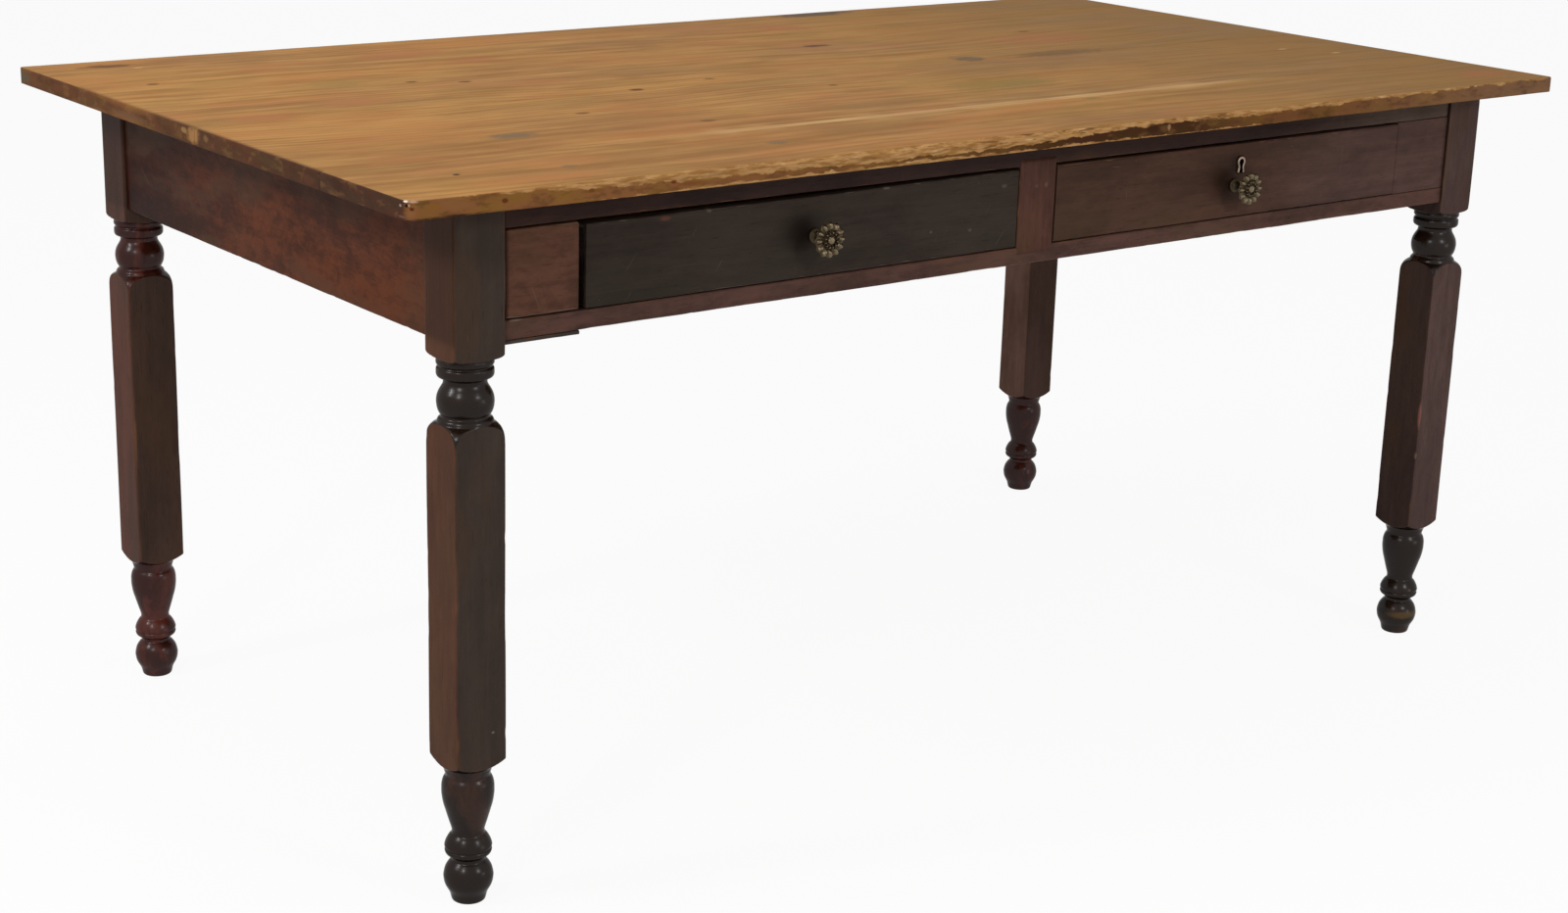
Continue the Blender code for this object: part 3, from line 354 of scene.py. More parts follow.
def stained_wood(name, pale, dark, axis, seed, second=None, olive=(80, 58, 38), olive_share=0.35,
                 rub=(116, 80, 56), gloss=0.36, scuffs=0.4, scratches=0.2, mottle=0.12, marks=(),
                 lathe=FRONT_LATHE):
    """A dark stained wood: blotch, cloud, streak and mottle choose between two browns, or between the
    second two where the mesh says so, and the wear shows over them. Each mark is a scuff with a known
    place, as (centre, half sizes, colour, strength)."""
    recipe = Recipe(name)
    places = recipe.places()
    shift = (seed * 1.7, seed * 2.3, seed * 3.1)
    cloudy = places.mapped(grain_scale(axis, 0.4), shift)
    along = places.mapped(grain_scale(axis, GRAIN_STRETCH), shift)
    fine = places.mapped(grain_scale(axis, GRAIN_STRETCH / 2), shift)
    cloud = cloudy.noise(CLOUD_SCALE, 3.0, 0.55)
    blotch = cloudy.noise(BLOTCH_SCALE, 4.0, 0.62, 0.4)
    streak = along.noise(STREAK_SCALE, 3.0, 0.6, 0.3)
    fibre = fine.noise(FIBRE_SCALE, 2.0, 0.6)
    pore = along.noise(FIBRE_SCALE, 1.0).ramp(0.66, 0.74)
    patchy = places.mapped(grain_scale(axis, 0.6), shift).noise(MOTTLE_SCALE, 4.0, 0.68, 0.6)

    tone = cloud * 0.34 + blotch * 0.36 + streak * 0.22 + fibre * 0.08 + (patchy - 0.5) * mottle
    tone = tone.ramp(0.38, 0.62)
    colour = tone.mix(dark, pale)
    if second is not None:
        colour = recipe.attribute("second").mix(colour, tone.mix(second[1], second[0]))
    olive_patch = cloudy.mapped(shift=(4.1, 2.7, 1.9)).noise(15.0, 3.0, 0.6)
    colour = olive_patch.ramp(0.50, 0.64, 0.0, olive_share).mix(colour, olive)
    darker = tuple(channel * DARKER_SHARE for channel in linear(*dark)[:3]) + (1.0,)
    colour = (pore * 0.35).mix(colour, darker)

    speck = places.mapped((1, 1, 1), shift).noise(SCUFF_SCALE, 4.0, 0.7, 1.2)
    on_face = scratches_along(places, (0, 0.5 + seed, 0), (SCRATCH_STRETCH, 1, 1), shift)
    on_side = scratches_along(places, (1.9 + seed, 0, 0), (1, SCRATCH_STRETCH, 1), shift)
    bare = speck.ramp(0.70, 0.78, 0.0, scuffs).most(on_face.most(on_side) * scratches)
    worn = recipe.attribute("worn") * streak.ramp(0.3, 0.6)
    turned = recipe.attribute("turned")
    colour = bare.mix(colour, rub)
    colour = worn.mix(colour, rub)
    colour = recipe.attribute("grime_and_shade").mix(colour, darker)
    colour = (turned * LATHE_COVER).mix(colour, blotch.ramp(0.52, 0.66).mix(lathe[1], lathe[0]))
    for mark in marks:
        colour = marked(colour, places, blotch, *mark)

    rough = cloud.ramp(0.3, 0.7, gloss - 0.05, gloss + 0.10) + worn * 0.2 - turned * 0.14
    height = streak * 0.6 + fibre - pore
    normal = (height * turned.ramp(0.0, 1.0, 1.0, 0.02)).bump(STAIN_RELIEF)
    coat = turned.ramp(0.0, 1.0, FLAT_COAT, TURNED_COAT)
    shader = {"Coat_Weight": coat, "Coat_Roughness": COAT_ROUGHNESS, "Coat_IOR": COAT_IOR}
    return recipe.surface(colour, rough, normal, Specular_IOR_Level=0.02, **shader)


# Each leg's browns as (side faces, front face), and a face's browns as (pale, dark). Besides the
# stain, these browns paint in the studio's light and shade: each leg and each face is as bright as
# it looked under the lamps, so they differ from leg to leg.
LEG_BROWNS = {
    "front_left": (((90, 58, 42), (73, 46, 33)), ((70, 58, 51), (58, 49, 44))),
    "front_right": (((71, 54, 47), (55, 41, 37)), ((94, 73, 68), (73, 56, 52))),
    "back_left": (((88, 54, 42), (68, 42, 32)), ((77, 58, 49), (63, 48, 42))),
    "back_right": (((130, 98, 86), (106, 80, 68)), ((87, 65, 58), (69, 51, 46))),
}
# The scuffs on the front legs, and the ochre patch on the right one's foot
LEG_MARKS = {
    "front_left": (
        ((-0.7045, -0.4115, 0.6630), (0.0012, 0.0050, 0.0260), (112, 92, 82), 0.6),
        ((-0.7200, -0.4115, 0.1930), (0.0022, 0.0050, 0.0016), (128, 122, 112), 0.6),
    ),
    "front_right": (
        ((0.7045, -0.4110, 0.3150), (0.0034, 0.0034, 0.0220), (140, 92, 82), 0.7),
        ((0.7045, -0.4110, 0.2600), (0.0026, 0.0026, 0.0050), (122, 96, 88), 0.6),
        ((0.7210, -0.4025, 0.0290), (0.0300, 0.0240, 0.0062), (88, 66, 32), 0.85),
    ),
}
# The scuffs on the faces of the front as (x, z, half width, half height, colour, strength)
FACE_MARKS = {
    "under_rail": ((-0.690, 0.6205, 0.010, 0.0014, (128, 108, 98), 0.7),),
    "stile": (
        (-0.0060, 0.6895, 0.0032, 0.0024, (100, 84, 72), 0.5),
        (0.0085, 0.6900, 0.0036, 0.0036, (104, 88, 76), 0.6),
    ),
    "filler": ((-0.640, 0.6240, 0.025, 0.0012, (116, 94, 82), 0.5),),
    "left_front": (
        (-0.4900, 0.7088, 0.0500, 0.0012, (98, 88, 80), 0.7),
        (-0.5135, 0.7040, 0.0095, 0.0032, (108, 64, 52), 0.7),
        (-0.4593, 0.7072, 0.0045, 0.0030, (112, 102, 94), 0.6),
        (-0.2249, 0.7079, 0.0060, 0.0016, (112, 102, 92), 0.7),
        (-0.1596, 0.6528, 0.0030, 0.0022, (92, 84, 76), 0.6),
        (-0.1025, 0.6491, 0.0034, 0.0030, (92, 84, 76), 0.6),
        (-0.0549, 0.6941, 0.0050, 0.0028, (94, 86, 78), 0.6),
    ),
}
leg_finishes = {}
for place, (leg_name, (sides, front)) in enumerate(LEG_BROWNS.items()):
    leg_finishes[leg_name] = stained_wood(
        "leg_stain_" + leg_name, *sides, "z", 1 + place * 0.37, second=front,
        olive=(76, 54, 36), gloss=0.32, scuffs=0.2, scratches=0.15,
        marks=LEG_MARKS.get(leg_name, ()), lathe=BACK_LATHE if "back" in leg_name else FRONT_LATHE,
    )
# The end aprons' second, darker browns toward the back are painted shade
end_finish = stained_wood(
    "end_stain", (95, 51, 31), (63, 33, 21), "y", 2, second=((52, 20, 10), (34, 12, 6)),
    olive=(78, 54, 38), olive_share=0.5, scuffs=0.5, mottle=0.45,
)
back_finish = stained_wood("back_stain", (88, 54, 39), (60, 38, 28), "x", 3, gloss=0.40, mottle=0.35)
# The rail under the top is given dark browns as painted shade under the overhang of the top, and its
# second, paler browns toward the right end as painted light
over_finish = stained_wood(
    "over_rail_stain_and_shade", (60, 42, 37), (44, 31, 28), "x", 4, second=((96, 80, 70), (74, 61, 53)),
    scuffs=0.2, scratches=0.15,
)
under_finish = stained_wood(
    "under_rail_stain", (94, 66, 58), (66, 47, 42), "x", 4.4, olive=(84, 64, 46), mottle=0.25,
    marks=face_marks("under_rail"),
)
cleat_finish = stained_wood("cleat_stain", (72, 64, 60), (50, 44, 42), "x", 5)
stile_finish = stained_wood(
    "stile_stain", (91, 60, 50), (68, 45, 37), "z", 6, scuffs=0.5, mottle=0.2,
    marks=face_marks("stile"),
)
filler_finish = stained_wood(
    "filler_stain", (100, 67, 53), (74, 49, 39), "x", 7, olive=(86, 67, 42), olive_share=0.5,
    rub=(124, 98, 84), scuffs=0.5, mottle=0.35, marks=face_marks("filler"),
)
dark_front = stained_wood(
    "dark_front", (61, 51, 44), (46, 38, 33), "x", 8, olive=(50, 46, 38), rub=(104, 92, 82),
    mottle=0.10, marks=face_marks("left_front"),
)
# The right front's second, paler browns, at its right end and on the right filler, are painted light
brown_front = stained_wood(
    "brown_front", (84, 59, 47), (62, 44, 35), "x", 9, second=((95, 70, 64), (73, 54, 49)),
    olive=(72, 56, 40), rub=(120, 92, 78),
)
print("leg finishes", len(leg_finishes))


# %% [markdown]
# ## Scrubbed pine
# The top is pine, and its figure comes from the growth rings: a board is a flat slice through a
# set of long tubes, one inside another. So the rings are a real ring pattern about a line that
# runs lengthwise under each board, and the slice draws the streaks by itself. Slow noise bends
# the tubes, the knots push them aside, and each board has its own line, so no two match.
# Marks with a known place, such as knots and smears, are soft ellipses set there by name.
# The outside edges carry an old dark finish, and along the front it is left only as a band: above
# and below it the arrises are scrubbed to raw wood. The meshes say where that band starts and ends,
# and noise makes both of its borders ragged.

# %% Mix the pine finish
HALF_LENGTH = (cad_box[1][0] - cad_box[0][0]) / 2
HALF_WIDTH = (cad_box[1][1] - cad_box[0][1]) / 2
TABLE_HEIGHT = cad_box[1][2]
KNOT_BROWN = (88, 56, 36)
SMEAR_GREY = (112, 94, 72)
RED_TINT = (164, 104, 68)
OLIVE_TINT = (138, 114, 60)
PALE_PINE = (204, 164, 112)
RAW_PINE = (186, 142, 92)
PINE_RELIEF = 0.00010
# The half height of the marks on the upper face, in millimetres, so that they don't fade downwards
THROUGH = 1000
# How ragged and how soft the borders of the old finish are
JAG_DEPTH = 0.013
BAND_BLUR = 0.0006
# From where along the top its edge turns greyer, and from where its face is painted darker toward
# the right end, as painted shade
GREYER_FROM = 0.35
SHADED_FROM = -0.15
# Where the finish of the ends gives way to that of the front, measured from the corner
CORNER_START = 0.012
CORNER_STOP = 0.004
# Each mark as (share of the length from the left, share of the depth from the back, half length and
# half depth in millimetres, colour, strength)
TOP_MARKS = (
    (0.064, 0.897, 5.5, 5, (30, 22, 18), 1.0),
    (0.333, 0.512, 13, 8, KNOT_BROWN, 0.95),
    (0.245, 0.632, 11, 7, KNOT_BROWN, 0.75),
    (0.211, 0.331, 10, 6, KNOT_BROWN, 0.9),
    (0.245, 0.360, 11, 8, KNOT_BROWN, 0.85),
    (0.583, 0.297, 26, 10, KNOT_BROWN, 0.9),
    (0.050, 0.205, 9, 7, KNOT_BROWN, 0.7),
    (0.408, 0.480, 9, 6, KNOT_BROWN, 0.6),
    (0.470, 0.597, 9, 6, KNOT_BROWN, 0.65),
    (0.795, 0.313, 13, 7, KNOT_BROWN, 0.7),
    (0.302, 0.745, 12, 9, KNOT_BROWN, 0.6),
    (0.160, 0.725, 36, 16, SMEAR_GREY, 0.85),
    (0.136, 0.912, 12, 8, SMEAR_GREY, 0.6),
    (0.293, 0.903, 16, 12, SMEAR_GREY, 0.7),
    (0.647, 0.495, 30, 22, (104, 88, 66), 0.9),
    (0.735, 0.510, 95, 26, (116, 86, 50), 0.85),
    (0.700, 0.018, 85, 22, (88, 74, 60), 0.9),
    (0.055, 0.045, 42, 14, (104, 70, 44), 0.9),
    (0.265, 0.115, 85, 36, RED_TINT, 0.6),
    (0.305, 0.200, 45, 30, RED_TINT, 0.6),
    (0.520, 0.215, 50, 24, RED_TINT, 0.5),
    (0.622, 0.120, 50, 36, RED_TINT, 0.6),
    (0.785, 0.385, 110, 55, RED_TINT, 0.5),
    (0.055, 0.490, 60, 22, RED_TINT, 0.65),
    (0.130, 0.440, 50, 30, RED_TINT, 0.5),
    (0.960, 0.930, 50, 30, RED_TINT, 0.6),
    (0.100, 0.955, 100, 20, (172, 112, 64), 0.6),
    (0.585, 0.690, 110, 45, OLIVE_TINT, 0.6),
    (0.160, 0.300, 50, 30, OLIVE_TINT, 0.5),
    (0.600, 0.835, 20, 6, (120, 104, 52), 0.8),
    (0.072, 0.072, 8, 3, PALE_PINE, 0.9),
    (0.920, 0.627, 10, 4, PALE_PINE, 0.8),
    (0.945, 0.690, 10, 4, PALE_PINE, 0.8),
)
# Each mark on the outside edges as (share of the length, share of the depth, millimetres below the
# top, half sizes along the length, the depth and the height in millimetres, colour, strength)
EDGE_MARKS = (
    # The first mark is a painted highlight: the glint on the chipped near corner
    (0.0015, 0.9915, 0.8, (3.6, 3.6, 1.4), (248, 232, 218), 1.0),
    (0.0048, 0.9965, 1, (7, 5, 1.4), (196, 158, 138), 0.8),
    (0.0004, 0.9850, 5.2, (2, 2, 1.6), (164, 144, 138), 0.7),
    (0.0017, 0.9925, 4.8, (2.2, 2.2, 2.2), (24, 10, 8), 1.0),
    (0.0027, 0.9945, 4.4, (1.4, 1.4, 1.8), (188, 156, 140), 0.7),
    (0.0037, 0.9965, 7.8, (3.2, 3.2, 2.2), (82, 40, 22), 0.9),
    (0.0003, 0.9870, 15.5, (6, 6, 1.6), (116, 92, 74), 0.6),
    (0.0085, 1.0, 3.4, (7, 4, 2), (102, 80, 38), 0.6),
    (0.0170, 1.0, 7.5, (10, 4, 3.8), (138, 92, 40), 0.7),
    (0.0620, 1.0, 8.5, (4, 4, 2.8), (92, 40, 24), 0.85),
    (0.1200, 1.0, 8, (4, 4, 2.4), (96, 42, 26), 0.8),
    (0.1770, 1.0, 8.5, (4.5, 4, 2.4), (100, 40, 26), 0.85),
    (0.120, 1.0, 8.8, (16, 4, 2.2), (114, 76, 30), 0.6),
    (0.190, 1.0, 12, (20, 4, 2.6), (116, 66, 38), 0.6),
    (0.5690, 1.0, 9, (12, 5, 8), (60, 37, 23), 0.9),
    (0.5850, 1.0, 9, (2.8, 4, 5), (178, 138, 96), 0.6),
    (0.0, 0.5130, 8, (4, 18, 11), (156, 115, 72), 0.95),
    (0.0, 0.4880, 6, (4, 8, 4), (166, 132, 86), 0.6),
    (0.0, 0.5450, 7, (4, 8, 5), (140, 108, 70), 0.5),
    (0.0, 0.7000, 8, (4, 40, 5), (84, 64, 42), 0.5),
    (0.0, 0.7900, 12, (4, 18, 6), (98, 66, 48), 0.4),
    (0.0, 0.3400, 12, (4, 50, 6), (118, 86, 62), 0.6),
    (0.0, 0.0200, 10, (4, 20, 9), (92, 84, 68), 0.7),
    (0.0, 0.8500, 8, (4, 32, 10), (60, 40, 30), 0.6),
    (0.0250, 1.0, 18.5, (70, 4, 2.2), (50, 28, 20), 0.9),
    (0.3000, 1.0, 0.6, (35, 4, 1), (104, 70, 36), 0.6),
    (0.3550, 1.0, 0.6, (25, 4, 1), (112, 76, 40), 0.6),
    (0.4200, 1.0, 0.6, (35, 4, 1), (106, 70, 38), 0.6),
)


def raw_wood(places, shift, deep):
    """Scraped wood as its colour and its flecks: the colour of the top, with paler flecks drawn out
    along the length, and dark splinters where the finish beside it is dark."""
    flecked = places.mapped((0.16, 1.0, 1.0), shift)
    fleck = flecked.noise(300.0, 3.0, 0.6)
    splinter = flecked.mapped(shift=(3.1, 5.3, 1.7)).noise(230.0, 2.0, 0.6)
    colour = fleck.ramp(0.36, 0.60).mix((150, 106, 58), RAW_PINE)
    colour = fleck.ramp(0.64, 0.74).mix(colour, (212, 178, 134))
    dark = splinter.ramp(0.56, 0.64) * deep.ramp(0.0, 1.0, 0.25, 0.85)
    return dark.mix(colour, (98, 62, 36)), fleck


def old_finish(places, shift, deep):
    """What is left of the finish on the edges: ochre and red-brown where "deep" is nought and dark
    brown where it is one, redder on the ends and greyer toward the right, in soft long blotches."""
    wide = places.mapped((0.4, 0.4, 1.0), shift)
    hue = wide.noise(55.0, 3.0, 0.6).ramp(0.40, 0.60)
    blotch = wide.mapped(shift=(2.9, 1.3, 0.7)).noise(90.0, 4.0, 0.62)
    along = places.axis(0)
    at_end = abs(along).ramp(HALF_LENGTH - CORNER_START, HALF_LENGTH - CORNER_STOP)
    light = hue.mix((138, 91, 55), (136, 95, 48))
    dark = hue.mix((70, 42, 26), (68, 46, 24))
    end_dark = hue.mix((77, 49, 38), (70, 49, 38))
    colour = deep.mix(light, at_end.mix(dark, end_dark))
    colour = along.ramp(GREYER_FROM, HALF_LENGTH, 0.0, 0.85).mix(colour, (124, 92, 70))
    colour = blotch.ramp(0.50, 0.66, 0.0, 0.40).mix(colour, (64, 40, 28))
    return blotch.ramp(0.34, 0.46, 0.28, 0.0).mix(colour, (140, 102, 62))


def place_marks(colour, places, ragged, marks, low_y, high_y):
    """The colour with the marks that touch the board between two depths, given like EDGE_MARKS."""
    for share_x, share_y, below, sizes, mark_colour, strength in marks:
        half_sizes = [size * MM for size in sizes]
        middle_y = HALF_WIDTH * (1 - 2 * share_y)
        if low_y - half_sizes[1] < middle_y < high_y + half_sizes[1]:
            centre = (HALF_LENGTH * (2 * share_x - 1), middle_y, TABLE_HEIGHT - below * MM)
            colour = marked(colour, places, ragged, centre, half_sizes, mark_colour, strength)
    return colour


def pine(name, seed, low_y, high_y, pith_y, pith_z):
    """Oiled pine for the board between two depths, with its pith line at the given place."""
    recipe = Recipe(name)
    places = recipe.places()
    shift = (seed * 3.7, seed * 0.9, seed * 0.4)
    sway = (places.mapped((0.9, 1.6, 1.0), shift).noise(1.4, 2.0) - 0.5) * 0.16
    bend = recipe.signal("CombineXYZ", {1: sway})
    bent = recipe.signal("VectorMath", {0: places, 1: bend}, operation="ADD")

    pith = bent.mapped((0.05, 1.0, 1.0), (seed * 0.31, -pith_y, -pith_z))
    wave = {"Vector": pith, "Scale": 26.0, "Distortion": 5.0, "Detail": 3.0}
    wave.update({"Detail Scale": 1.1, "Detail Roughness": 0.6})
    rings = recipe.signal("TexWave", wave, "Fac", wave_type="RINGS", rings_direction="X").ramp(0.35, 1.0)

    streak = bent.mapped((0.05, 1.0, 1.0), shift).noise(70.0, 4.0, 0.55)
    fibre = bent.mapped((0.03, 1.0, 1.0), shift).noise(300.0, 2.0, 0.5)
    cloud = places.mapped((0.45, 1.0, 1.0), shift).noise(6.0, 4.0, 0.6)
    patch = places.mapped((0.35, 1.0, 1.0), shift).noise(14.0, 3.0, 0.6)
    smudge = places.mapped((0.30, 1.0, 1.0), (seed, 4.0, 2.0)).noise(34.0, 3.0, 0.6)

    tone = streak * 0.30 + cloud * 0.44 + smudge * 0.26 - rings * 0.06
    colour = tone.ramp(0.34, 0.62).mix((142, 99, 52), (182, 135, 79))
    colour = fibre.ramp(0.40, 0.66, 0.0, 0.10).mix(colour, (120, 80, 46))
    colour = patch.ramp(0.50, 0.64, 0.0, 0.42).mix(colour, (172, 112, 64))
    colour = patch.ramp(0.36, 0.48, 0.30, 0.0).mix(colour, (146, 114, 62))
    # Painted shade: the face darkens toward the right end, where the light falls off
    colour = places.axis(0).ramp(SHADED_FROM, HALF_LENGTH, 0.0, 0.62).mix(colour, (132, 99, 54))

    ragged = places.mapped((0.6, 1.0, 1.0)).noise(140.0, 2.0)
    top_marks = [(x, y, 0, (half_x, half_y, THROUGH), *rest) for x, y, half_x, half_y, *rest in TOP_MARKS]
    colour = place_marks(colour, places, ragged, top_marks, low_y, high_y)
    dent = places.noise(260.0, 2.0, 0.6).ramp(0.70, 0.76)
    colour = (dent * 0.5).mix(colour, KNOT_BROWN)
    colour = recipe.attribute("pale").mix(colour, PALE_PINE)

    deep = recipe.attribute("deep")
    raw, fleck = raw_wood(places, shift, deep)
    jag = places.mapped((0.45, 0.45, 1.0)).noise(105.0, 5.0, 0.6) - 0.5
    reach = recipe.math("SUBTRACT", TABLE_HEIGHT, places.axis(2)) + jag * JAG_DEPTH
    past_high = (reach - recipe.attribute("band_high")).ramp(-BAND_BLUR, BAND_BLUR)
    short_of_low = (reach - recipe.attribute("band_low")).ramp(-BAND_BLUR, BAND_BLUR, 1.0, 0.0)
    edge = recipe.attribute("edge")
    finish = edge * (past_high * short_of_low)
    scrape = (recipe.attribute("scrape") + jag * 2.4).ramp(0.52, 0.62)
    cut = recipe.attribute("worn") * fleck.ramp(0.2, 0.5, 0.5, 1.0)
    scraped = (edge - finish).most(scrape).most(cut)
    colour = (scraped * 0.9).mix(colour, raw)
    colour = finish.mix(colour, old_finish(places, shift, deep))
    colour = place_marks(colour, places, ragged, EDGE_MARKS, low_y, high_y)

    rough = cloud.ramp(0.3, 0.7, 0.46, 0.58) + scraped * 0.25
    height = streak * 0.8 + fibre - dent * 2.0 + jag * scraped * 8.0
    return recipe.surface(colour, rough, height.bump(PINE_RELIEF), Specular_IOR_Level=0.01)


# %% [markdown]
# ## Bare wood and metals
# Inside the drawers and under the top nobody stained anything, so those parts are pale, dry and
# a little dusty. The knobs are cast bronze gone olive, dark in the hollows and rubbed bright where
# fingers reach. The keyhole plate is brass, and the screws, bolts and lock are plain iron.

# %% Mix bare wood and metals
BARE_RELIEF = 0.00015
METAL_RELIEF = 0.00008
# How far the stain that ran over a drawer's joint fades out, and how ragged its border is
RUN_FADE = 0.008
RUN_RAGGED = 0.012


def bare_wood(name, axis, seed, stained_to=None):
    """Dry unfinished wood: broad bands and fine fibres between two tans, with a dusty cloud over it.
    In front of the depth stained_to, the stain of the drawer front has run over the joint."""
    recipe = Recipe(name)
    places = recipe.places()
    shift = (seed * 1.3, seed * 2.1, seed * 0.7)
    along = places.mapped(grain_scale(axis, GRAIN_STRETCH), shift)
    band = along.noise(60.0, 4.0, 0.6, 0.4)
    fibre = along.noise(FIBRE_SCALE, 2.0, 0.6)
    cloud = places.mapped(shift=shift).noise(14.0, 3.0)
    colour = (band * 0.7 + fibre * 0.3).ramp(0.35, 0.65).mix((140, 108, 72), (186, 152, 108))
    colour = cloud.ramp(0.5, 0.7, 0.0, 0.45).mix(colour, (122, 98, 72))
    if stained_to is not None:
        edge = places.axis(1) + cloud * RUN_RAGGED
        colour = edge.ramp(stained_to, stained_to + RUN_FADE, 1.0, 0.0).mix(colour, (40, 30, 26))
    rough = band.ramp(0.3, 0.7, 0.62, 0.78)
    return recipe.surface(colour, rough, (band + fibre).bump(BARE_RELIEF), Specular_IOR_Level=0.1)


def old_metal(name, bright, dull, seed, rough, patina=1.0):
    """Metal with patina: cloudy noise and the "grime_and_shade" numbers, dark hollows and painted shade,
    pull it from bright to dull.
    """
    recipe = Recipe(name)
    places = recipe.places().mapped(shift=(seed, seed, seed))
    cloud = places.noise(240.0, 3.0, 0.6)
    grain = places.noise(1800.0, 2.0)
    tone = cloud.ramp(0.38, 0.66, 0.0, patina).most(recipe.attribute("grime_and_shade"))
    gloss = tone.ramp(0.0, 1.0, *rough)
    relief = (grain + cloud).bump(METAL_RELIEF)
    return recipe.surface(tone.mix(bright, dull), gloss, relief, Metallic=1.0)


bare_finishes = {axis: bare_wood("bare_wood_" + axis, axis, place) for place, axis in enumerate("xyz")}
DRAWER_FRONT_BACK = node_box("drawer_left_front")[1][1]
side_finish = bare_wood("drawer_side_wood", "y", 5, DRAWER_FRONT_BACK)
bronze = old_metal("old_bronze", (114, 101, 80), (68, 58, 43), 0.3, (0.30, 0.5), 0.4)
brass = old_metal("old_brass", (158, 138, 124), (26, 20, 16), 0.6, (0.30, 0.5), 0.3)
iron = old_metal("old_iron", (96, 90, 86), (52, 44, 40), 0.9, (0.4, 0.6))
print("bare wood", len(bare_finishes), "metals", 3)


# %% [markdown]
# ## From arrays to meshes
# Every new piece is a grid of points worked out with numpy: rings of points, one ring after another
# along the piece. A ring joins to the next with four-sided faces, and each end is closed with
# triangles round one middle point. Whole arrays go into the mesh in one call each, which is far
# quicker than adding points one by one. What makes the shapes uneven is drift: random heights at
# even steps, joined by a smooth curve.

# %% Turn rings of points into a closed mesh
DRIFT_HEIGHTS = 4096
GRID_HEIGHTS = 65536
# How far apart two rows of a grid start in its random heights: a prime, so no two rows are alike
ROW_STRIDE = 7919
# Waves added before the first, so that no wave has a number below nought
WAVES_BEFORE = 1000.0
ROWS_BEFORE = 50.0


def ring_faces(rings, around):
    """Quads of a tube: point (i, j) joins (i, j+1), (i+1, j+1) and (i+1, j), closing round the ring."""
    ring = np.arange(rings - 1)[:, None] * around
    place = np.arange(around)[None, :]
    following = (place + 1) % around
    corners = [ring + place, ring + following, ring + around + following, ring + around + place]
    return np.stack(corners, axis=-1).reshape(-1, 4)


def with_ends(grid):
    """A grid of one number per point as a list, with the means of its first and last ring added."""
    return np.concatenate([grid.ravel(), grid[0].mean(keepdims=True), grid[-1].mean(keepdims=True)])


def make_piece(name, points, material, values, flip=False):
    """A closed tube from points (rings, around, 3), its ends closed, with a number per point by name."""
    rings, around = points.shape[:2]
    corners = np.stack([with_ends(points[..., axis]) for axis in range(3)], axis=-1)
    quads = ring_faces(rings, around)
    place = np.arange(around)
    following = (place + 1) % around
    first_end, last_end = rings * around, rings * around + 1
    last_ring = (rings - 1) * around
    low_cap = np.stack([np.full(around, first_end), following, place], axis=-1)
    high_cap = np.stack([np.full(around, last_end), last_ring + place, last_ring + following], axis=-1)
    triangles = np.concatenate([low_cap, high_cap])
    if flip:
        quads = quads[:, ::-1]
        triangles = triangles[:, ::-1]
    sizes = np.concatenate([np.full(len(quads), 4), np.full(len(triangles), 3)])
    loops = np.concatenate([quads.ravel(), triangles.ravel()])

    mesh = bpy.data.meshes.new(name)
    mesh.vertices.add(len(corners))
    mesh.vertices.foreach_set("co", corners.astype(np.float32).ravel())
    mesh.loops.add(len(loops))
    mesh.loops.foreach_set("vertex_index", loops.astype(np.int32))
    mesh.polygons.add(len(sizes))
    mesh.polygons.foreach_set("loop_start", (np.cumsum(sizes) - sizes).astype(np.int32))
    mesh.update(calc_edges=True)
    for key, grid in values.items():
        store = mesh.attributes.new(key, "FLOAT", "POINT")
        store.data.foreach_set("value", with_ends(grid).astype(np.float32))
    mesh.shade_smooth()
    mesh.materials.append(material)
    piece = bpy.data.objects.new(name, mesh)
    bpy.context.scene.collection.objects.link(piece)
    return piece


def wave_steps(places, wavelength, before):
    """The number of the wave that each place is in, and the eased share of the way to the next one."""
    spots = np.asarray(places, float) / wavelength + before
    whole = np.floor(spots).astype(int)
    share = spots - whole
    return whole, share * share * (3 - 2 * share)


def drift(places, wavelength, seed):
    """Random heights from -1 to 1, one wavelength apart, joined by the smooth step 3t² - 2t³."""
    heights = np.random.default_rng(seed).uniform(-1, 1, DRIFT_HEIGHTS)
    whole, ease = wave_steps(places, wavelength, WAVES_BEFORE)
    return heights[whole % DRIFT_HEIGHTS] * (1 - ease) + heights[(whole + 1) % DRIFT_HEIGHTS] * ease


def drift_grid(first, second, wavelengths, seed):
    """The same on two directions: rows of random heights, blended by the smooth step between rows."""
    heights = np.random.default_rng(seed).uniform(-1, 1, GRID_HEIGHTS)
    step, smooth = wave_steps(first, wavelengths[0], WAVES_BEFORE)
    row, ease = wave_steps(second, wavelengths[1], ROWS_BEFORE)

    def row_height(number):
        here = number * ROW_STRIDE + step
        return heights[here % GRID_HEIGHTS] * (1 - smooth) + heights[(here + 1) % GRID_HEIGHTS] * smooth

    return row_height(row) * (1 - ease) + row_height(row + 1) * ease


def soft_min(distances, width):
    """The smallest of several distances, with the change from one to the next rounded over the width."""
    stack = np.stack(np.broadcast_arrays(*distances))
    least = stack.min(axis=0)
    return least - width * np.log(np.exp(-(stack - least) / width).sum(axis=0))


def smooth_step(values, low, high):
    """0 below low, 1 above high, and 3t² - 2t³ between."""
    share = np.clip((np.asarray(values, float) - low) / (high - low), 0, 1)
    return share * share * (3 - 2 * share)


def full_turn(count):
    """Angles once round a circle, as one row."""
    return np.linspace(0, 2 * np.pi, count, endpoint=False)[None, :]


